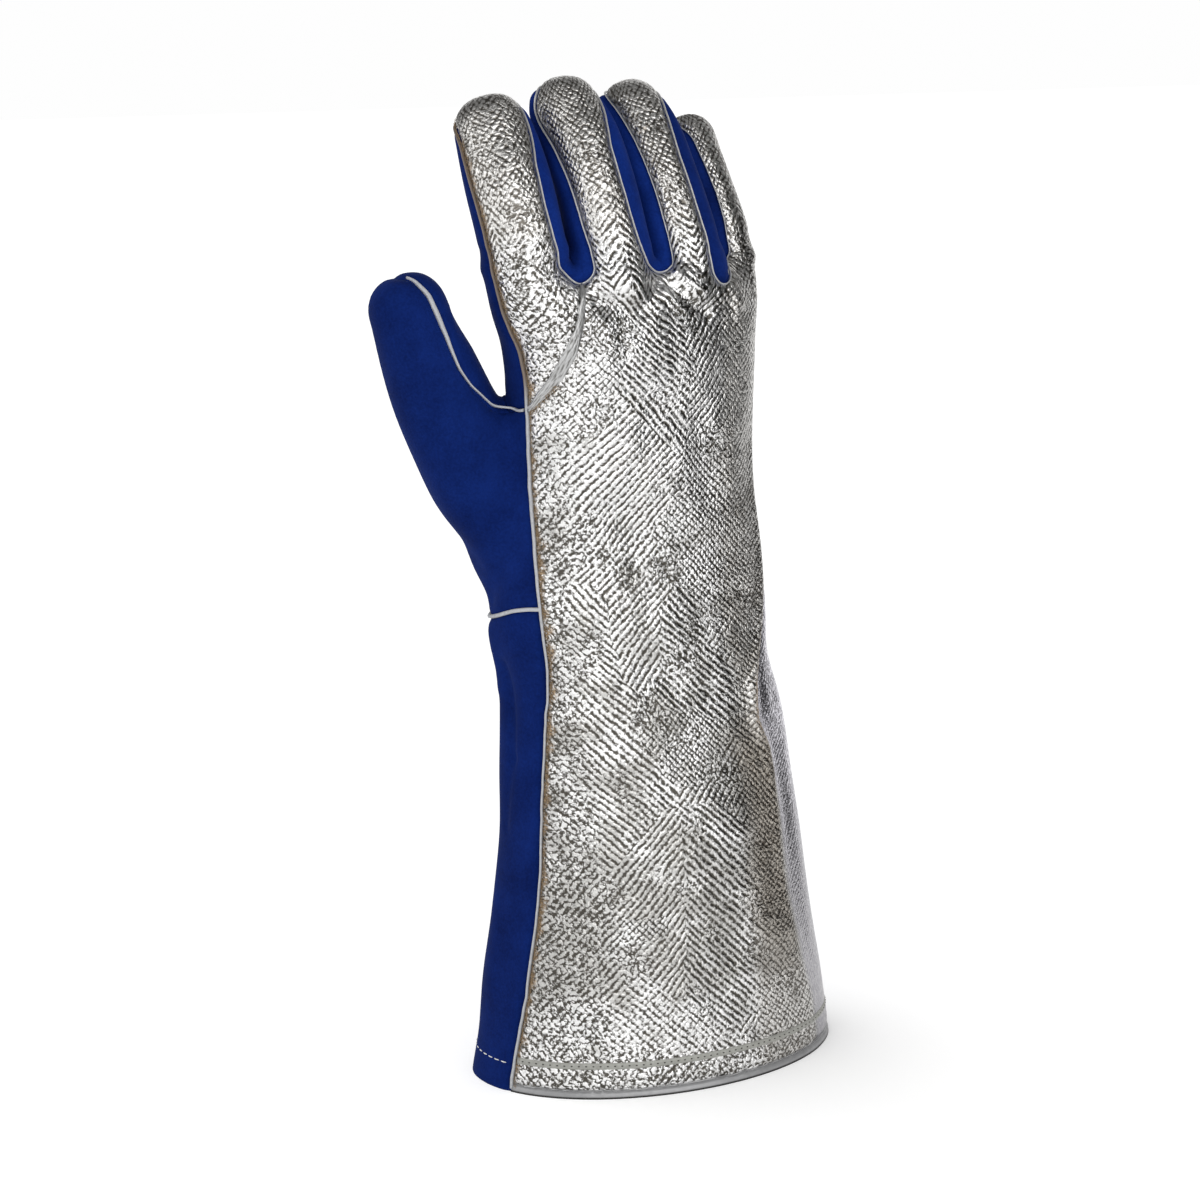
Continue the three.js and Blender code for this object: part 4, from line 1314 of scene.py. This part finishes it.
def embossGroup():
    # the foil's embossed weave, on millimetres of cloth: patches of slanting ridges, dots, chevrons and
    # worm-like creases, with soft swells under them
    weave = {
        "ridge": 2.8, "cell": 2.2, "chevron": 3.2, "arm": 7.0, "patch": 0.023, "drift": 7.0, "ripple": 1.1,
        "wander": 0.8, "furrow": 0.85, "dash": 0.4, "speck": 1.1,
    }
    outputs = {"Height": "Float", "Swell": "Float", "Tone": "Float", "Calm": "Float"}
    tree, (vector,) = newGroup("foilEmboss", {"Vector": "Vector"}, outputs)
    x, y, _ = vector.parts()

    def spreadNoise(scale, amount):
        return noiseOf(vector, scale, 1.0).scaled(2 * amount, -amount)

    across = x + spreadNoise(0.018, weave["drift"])
    up = y + (spreadNoise(0.14, weave["ripple"]) + spreadNoise(0.6, weave["wander"]))
    slants = (up + across, up - across)
    ridges = [waveOf(slant, weave["ridge"] * math.sqrt(2)) for slant in slants]
    cells = [waveOf(slant, weave["cell"] * math.sqrt(2)) for slant in slants]
    # the furrows come and go along their length
    dashes = noiseOf(vector, weave["dash"], 1.0).stepped(0.38, 0.56).scaled(0.4, 0.62)

    def broken(ridge):
        return (ridge.math("POWER", weave["furrow"]).rest() * dashes).rest()

    def lined(ridge, cell):
        return broken(ridge) * cell.scaled(0.3, 0.7)

    # diamond-shaped patches, each with its own slant
    diamonds = addNode(tree, "ShaderNodeTexVoronoi", feature="SMOOTH_F1", distance="MANHATTAN",
                       Scale=weave["patch"], Randomness=0.85, Smoothness=0.12, Vector=vector)
    lots = addNode(tree, "ShaderNodeSeparateColor")
    setInputs(tree, lots, {0: Value(tree, diamonds.outputs["Color"])})
    slantLot, dotLot = (Value(tree, lots.outputs[k]) for k in (0, 1))
    slants = lined(ridges[0], cells[1]), lined(ridges[1], cells[0])
    slanted = mixed(slantLot.stepped(0.42, 0.58), *slants, "FLOAT")
    # chevrons run up the lower halves of the fingers
    zigzag = waveOf(up + across.math("PINGPONG", weave["arm"]), weave["chevron"])
    onRoots = y.stepped(350.0, 360.0) * y.stepped(380.0, 398.0).rest()
    slanted = mixed(onRoots, slanted, broken(zigzag), "FLOAT")
    # the outer side of the hand and cuff has dots only, and so have most of the fingers
    dots = broken((cells[0] * cells[1]).math("SQRT"))
    onFingers = y.stepped(368.0, 384.0)
    calm = x.stepped(26.0, 36.0).orMore(onFingers)
    dotted = dotLot.stepped(0.56, 0.7).orMore(calm * 0.8) * onRoots.scaled(-0.65, 1.0)
    whole = mixed(dotted, slanted, dots, "FLOAT")
    # crumpled patches, where the weave gives way to worm-like creases
    worms = (noiseOf(vector, 0.36) - 0.5).math("ABSOLUTE").stepped(0.0, 0.15)
    patches = noiseOf(vector, 0.04, 1.0).stepped(0.5, 0.66).scaled(0.5, 0.12)
    margins = (x * -1.0).stepped(34.0, 48.0).orMore((y * -1.0).stepped(-24.0, -10.0))
    crumpled = mixed(patches.orMore(margins * onFingers.scaled(-0.33, 0.55)), whole, worms, "FLOAT")
    specks = noiseOf(vector, weave["speck"], 1.0).stepped(0.36, 0.47)
    pitted = crumpled * specks.scaled(0.3, 0.7)
    height = noiseOf(vector, 0.75, 1.5).scaled(0.7, pitted - 0.45)
    return closedGroup(tree, height, noiseOf(vector, 0.045), noiseOf(vector, 0.05), calm)


grainInputs = {"Vector": "Vector", "Deep": "Color", "Light": "Color"}
grainOutputs = {"Colour": "Color", "Grain": "Float"}


def grainGroup():
    # the grain of smooth leather, tape and thread, between two colours
    inputs = {**grainInputs, "Scale": "Float"}
    tree, (vector, deep, light, scale) = newGroup("leatherGrain", inputs, grainOutputs)
    grain = noiseOf(vector, scale, 4.0, 0.6)
    return closedGroup(tree, mixed(grain, deep, light), grain)


def napGroup():
    # the nap of split leather, in soft patches between two colours
    tree, (vector, deep, light) = newGroup("suedeNap", grainInputs, grainOutputs)
    nap = noiseOf(vector, 45.0, 4.0, 0.6)
    grain = noiseOf(vector, 900.0, 3.0, 0.6)
    tone = (nap * 0.6 + grain * 0.4).stepped(0.35, 0.65, "LINEAR")
    return closedGroup(tree, mixed(tone, deep, light), grain)


foilEmboss, leatherGrain, suedeNap = embossGroup(), grainGroup(), napGroup()


def foilMaterial():
    look = {
        "crevice": (0.085, 0.078, 0.067, 1), "crest": (0.985, 0.98, 0.975, 1), "shade": (0.6, 0.59, 0.57, 1),
        "calmCrevice": (0.14, 0.128, 0.112, 1), "calmShade": (0.47, 0.452, 0.425, 1),
        "calmCrest": (0.8, 0.785, 0.76, 1), "brownShadeCrevice": (0.07, 0.056, 0.043, 1),
        "brownShadeCrest": (0.42, 0.385, 0.335, 1), "sideCrevice": (0.34, 0.33, 0.36, 1),
        "sideShade": (0.48, 0.47, 0.485, 1), "sideCrest": (0.92, 0.9, 0.96, 1), "edge": (0.75, 0.75, 0.75, 1),
        "tan": (0.12, 0.075, 0.04, 1), "thread": (0.46, 0.33, 0.2, 1), "relief": 0.00045, "swell": 0.003,
        "roughness": 0.28,
    }
    material, tree, shader = newMaterial("aluminized_foil", {})
    uv = outputOf(tree, "ShaderNodeUVMap", 0, uv_map="cloth")
    height, swell, tone, calm = groupIn(tree, foilEmboss, Vector=uv)
    seam, worn, side, brownShade = (outputOf(tree, "ShaderNodeAttribute", "Fac", attribute_name=name)
                                for name in ("seamDistance", "worn", "sideFace", "brownShade"))
    inside = seam.stepped(0.25, 0.8)
    swollen = bumped(swell * side.scaled(-0.75, 1.0), 1.0, look["swell"])
    embossed = bumped(height * (inside * side.scaled(-0.55, 1.0)), 1.0, look["relief"], swollen)
    # painted light: the foil is painted lighter on the back of the hand and darker down the cuff, lighter
    # again at the hem, on top of the cloth's random tone; on the back of the hand more of the weave gets the
    # crest's painted highlight
    level = outputOf(tree, "ShaderNodeTexCoord", "Object").parts()[2]
    onHand = level.stepped(0.255, 0.295) * level.stepped(0.328, 0.348).rest()
    ridge = onHand.scaled(0.07, height).stepped(0.08, 0.54)
    hem = level.stepped(0.055, 0.03) * 0.3
    paintedShine = (tone + level.scaled(1.1, -0.22) + hem).stepped(0.3, 0.6)
    # the weave's dark crevice colour is painted shade in its hollows and its bright crest colour a painted
    # highlight on its tops; the dotted zone gets a dimmer painted pair
    crevice = mixed(calm, look["crevice"], look["calmCrevice"])
    crest = mixed(calm, mixed(paintedShine, look["shade"], look["crest"]),
                  mixed(paintedShine, look["calmShade"], look["calmCrest"]))
    # painted shade with a brown tint just in front of the fold, low on the cuff
    crevice = mixed(brownShade, crevice, look["brownShadeCrevice"])
    crest = mixed(brownShade, crest, look["brownShadeCrest"])
    # beyond the fold the foil's colour is a painted reflection of the pale lilac backdrop, with painted shade
    # towards the foot of the cuff
    crevice = mixed(side, crevice, look["sideCrevice"])
    crest = mixed(side, crest, mixed(level.stepped(0.07, 0.16), look["sideShade"], look["sideCrest"]))
    # a thin pale line along each foil panel's rolled edge, a painted highlight
    edged = mixed(inside, look["edge"], mixed(ridge, crevice, crest))
    # where the foil is gone its tan backing shows
    tan = mixed(noiseOf(uv, 1.3).stepped(0.35, 0.65), look["tan"], look["thread"])
    bare = worn * noiseOf(uv, 0.85).stepped(0.34, 0.52)
    setInputs(tree, shader, {
        "Base Color": mixed(bare, edged, tan), "Normal": embossed,
        "Metallic": inside.scaled(0.6, 0.4) * bare.scaled(-0.8, 1.0),
        "Roughness": bare.scaled(0.5, look["roughness"]),
    })
    return material


def suedeMaterial(name, deep, light):
    material, tree, shader = newMaterial(name, {
        "Roughness": 0.9, "Specular IOR Level": 0.06, "Sheen Weight": 0.05, "Sheen Roughness": 0.4,
        "Sheen Tint": (0.3, 0.45, 1, 1),
    })
    place = outputOf(tree, "ShaderNodeTexCoord", "Object")
    colour, grain = groupIn(tree, suedeNap, Vector=place, Deep=deep, Light=light)
    setInputs(tree, shader, {"Base Color": colour, "Normal": bumped(grain, 0.7, 0.0002)})
    return material


def plainLeather(name, deep, light, scale, roughness, relief, metallic=0.0, turn=None):
    # turn gives another colour on one side of a height
    material, tree, shader = newMaterial(name, {"Roughness": roughness, "Metallic": metallic})
    place = outputOf(tree, "ShaderNodeTexCoord", "Object")
    colour, grain = groupIn(tree, leatherGrain, Vector=place, Scale=scale, Deep=deep, Light=light)
    if turn:
        share = place.parts()[2].stepped(turn["low"], turn["high"])
        colour = mixed(share, turn.get("below", colour), turn.get("above", colour))
    setInputs(tree, shader, {"Base Color": colour, "Normal": bumped(grain, 0.5, relief)})
    return material


def smoothFoilMaterial():
    material, tree, shader = newMaterial("smooth_foil", {"Metallic": 0.9, "Roughness": 0.34})
    uv = outputOf(tree, "ShaderNodeUVMap", 0, uv_map="cloth")
    streaks = noiseOf(outputOf(tree, "ShaderNodeMapping", 0, Vector=uv, Scale=(2.2, 0.22, 1)), 1.0)
    colour = mixed(streaks.stepped(0.3, 0.6), (0.16, 0.158, 0.15, 1), (0.55, 0.55, 0.55, 1))
    setInputs(tree, shader, {"Base Color": colour, "Normal": bumped(streaks, 1.0, 0.0004)})
    return material


print("mixing the materials")
weltLook = ((0.25, 0.255, 0.27, 1), (0.52, 0.53, 0.55, 1), 700.0, 0.6, 0.0001)
# above the web of the thumb the side welt is worn brown
wornTurn = {"low": 0.306, "high": 0.322, "above": (0.17, 0.135, 0.11, 1)}
# the binding's foot is painted near black, a painted contact shadow where it meets the floor
footShadowTurn = {"low": 0.0004, "high": 0.0012, "below": (0.012, 0.011, 0.01, 1)}
# the leather between the first fingers is painted a lighter blue, a painted light for the light in those
# slots
paintedLightSuede = suedeMaterial("painted_light_suede", (0.0014, 0.0102, 0.087, 1), (0.0045, 0.023, 0.17, 1))
tanFibre = plainLeather("tan_fibre", (0.16, 0.1, 0.05, 1), (0.42, 0.3, 0.17, 1), 900.0, 0.8, 0.00005)
slots = {
    "aluminized_cloth": foilMaterial(),
    "blue_split_leather": suedeMaterial("blue_suede", (0.001, 0.0072, 0.063, 1), (0.0032, 0.0165, 0.124, 1)),
    "welt_leather": plainLeather("welt_leather", *weltLook),
    "hem_binding": plainLeather(
        "hem_binding", (0.24, 0.24, 0.245, 1), (0.36, 0.36, 0.365, 1), 300.0, 0.4, 0.00005, 0.4, footShadowTurn),
    "hem_tape": plainLeather("hem_tape", (0.2, 0.2, 0.18, 1), (0.42, 0.42, 0.39, 1), 500.0, 0.5, 0.0001, 0.3),
}
finishes = {
    "fourchette_index_middle": paintedLightSuede, "fourchette_middle_ring": paintedLightSuede,
    "side_welt": plainLeather("worn_welt", *weltLook, 0.0, wornTurn), "index_welt": smoothFoilMaterial(),
    "hem_stitches": plainLeather(
        "white_thread", (0.6, 0.6, 0.58, 1), (0.8, 0.8, 0.78, 1), 2000.0, 0.7, 0.00005),
    "finger_edging": plainLeather(
        "silver_thread", (0.35, 0.35, 0.35, 1), (0.7, 0.7, 0.69, 1), 900.0, 0.4, 0.00005, 0.4),
    # near-black beads: painted shade in the needle holes
    "needle_holes": plainLeather(
        "needle_hole", (0.03, 0.028, 0.025, 1), (0.06, 0.055, 0.05, 1), 900.0, 0.8, 0.00002),
    "side_fibres": tanFibre, "index_fibres": tanFibre,
}
gloveParts = bpy.data.collections.new("glove")
bpy.context.scene.collection.children.link(gloveParts)
for name, piece in pieces.items():
    if name in panels:
        slotName = panels[name]["slot"]
    elif name in welts:
        slotName = "welt_leather"
    elif name in fraying or name == "finger_edging":
        slotName = "aluminized_cloth"
    else:
        slotName = "hem_tape"
    piece.name = "sewn_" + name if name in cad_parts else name
    piece.data.materials.append(finishes.get(name, slots[slotName]))
    gloveParts.objects.link(piece)
    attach(piece, "root")
    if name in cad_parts:
        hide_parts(name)


# Camera, floor and light

def lookFrom(azimuth, elevation):
    # the direction from the glove towards a place, by its bearing from the front and its height, in degrees
    a, e = math.radians(azimuth), math.radians(elevation)
    return Vector((math.sin(a) * math.cos(e), -math.cos(a) * math.cos(e), math.sin(e)))


def turnedTo(direction):
    return direction.to_track_quat("Z", "Y").to_euler()


def flatPiece(name, finish, corners, constants):
    mesh = bpy.data.meshes.new(name)
    mesh.from_pydata(corners, [], [(0, 1, 2, 3)])
    material, tree, shader = newMaterial(finish, constants)
    mesh.materials.append(material)
    return placeInScene(name, mesh), tree, shader


camera = {
    "place": (-507.1, -1087.6, 510.0), "heading": -23.87, "down": 13.92, "focal": 2774.67, "image": 1200,
    "sensor": 36,
}
cameraData = bpy.data.cameras.new("camera")
cameraData.sensor_width = camera["sensor"]
cameraData.lens = camera["focal"] / camera["image"] * camera["sensor"]
cameraObject = placeInScene("camera", cameraData)
cameraObject.location = toRow(camera["place"])
cameraObject.rotation_euler = turnedTo(lookFrom(camera["heading"], camera["down"]))
bpy.context.scene.camera = cameraObject

# How bright the floor and the sky are, as colours and as strengths of light: the floor's own colour, the sky
# for the glove and the floor, the sun's share on the floor, the surroundings in the foil and to the camera,
# the floor to the camera and the floor's extra light in the foil
stage = {
    "floor": 0.88, "sky": 0.62, "sun": 0.36, "unseen": 0.2, "seen": 0.99, "bright": 1.14, "mirrored": 0.12,
    "half": 6.0,
}


def greyOf(value):
    return (value, value, value, 1)


def raysOf(tree):
    # whether a ray goes to the camera, and whether to a reflection
    node = addNode(tree, "ShaderNodeLightPath")
    return [Value(tree, node.outputs[label]) for label in ("Is Camera Ray", "Is Glossy Ray")]


half = stage["half"]
floor, floorTree, floorShader = flatPiece(
    "floor", "pale_floor", [(-half, -half, 0), (half, -half, 0), (half, half, 0), (-half, half, 0)],
    {"Base Color": greyOf(stage["floor"]), "Roughness": 0.9, "Specular IOR Level": 0,
     "Emission Color": greyOf(1)})
toCamera, toMirror = raysOf(floorTree)
lift = stage["bright"] - stage["floor"] * stage["sky"] - stage["sun"]
setInputs(floorTree, floorShader, {"Emission Strength": toCamera.scaled(lift, toMirror * stage["mirrored"])})


def areaLight(name, azimuth, elevation, distance, size, radiance):
    # a soft box that gives the radiance named, facing the glove's middle, which alone it lights
    target = Vector((0, 0, 0.22))
    data = bpy.data.lights.new(name, "AREA")
    data.shape = "RECTANGLE"
    data.size, data.size_y = size
    data.energy = radiance * math.pi * size[0] * size[1]
    light = placeInScene(name, data)
    light.visible_camera = False
    light.light_linking.receiver_collection = gloveParts
    away = lookFrom(azimuth, elevation)
    light.location = target + away * distance
    light.rotation_euler = turnedTo(away)


areaLight("key", -80, 20, 1.9, (1.6, 1.5), 1.45)
areaLight("front", 4, 19, 2.1, (2.6, 1.6), 2.0)
areaLight("rim", 145, 14, 2.1, (2.2, 1.3), 1.0)

# a broad soft light from the upper left that falls on the floor alone, for the shadow on the right
sun = {"spread": 40, "tilt": 20, "across": -0.95, "back": 0.31}
floorOnly = bpy.data.collections.new("floor_only")
bpy.context.scene.collection.children.link(floorOnly)
floorOnly.objects.link(floor)
sunData = bpy.data.lights.new("floor_light", "SUN")
sunData.angle = math.radians(sun["spread"])
tilt = math.radians(sun["tilt"])
sunData.energy = stage["sun"] * math.pi / (stage["floor"] * math.cos(tilt))
sunLight = placeInScene("floor_light", sunData)
sunLight.light_linking.receiver_collection = floorOnly
sunLight.rotation_euler = turnedTo(
    Vector((sun["across"] * math.sin(tilt), sun["back"] * math.sin(tilt), math.cos(tilt))))

# a black card on the right, seen only in the foil's reflections
card = {"x": 0.55, "near": -0.72, "far": 0.1, "low": 0.001, "top": 0.9}
cardObject, _, _ = flatPiece(
    "black_card", "black_card", [(card["x"], card[end], card[level]) for end, level in
                                 (("near", "low"), ("far", "low"), ("far", "top"), ("near", "top"))],
    {"Base Color": greyOf(0.02), "Roughness": 1})
cardObject.visible_camera = False
cardObject.visible_diffuse = False
cardObject.visible_shadow = False

world = bpy.data.worlds.new("studio")
world.use_nodes = True
toCamera, toMirror = raysOf(world.node_tree)
unseen = mixed(toMirror, greyOf(stage["sky"]), greyOf(stage["unseen"]))
surroundings = mixed(toCamera, unseen, greyOf(stage["seen"]))
setInputs(world.node_tree, world.node_tree.nodes["Background"], {0: surroundings})
bpy.context.scene.world = world
bpy.context.scene.view_settings.view_transform = "Standard"
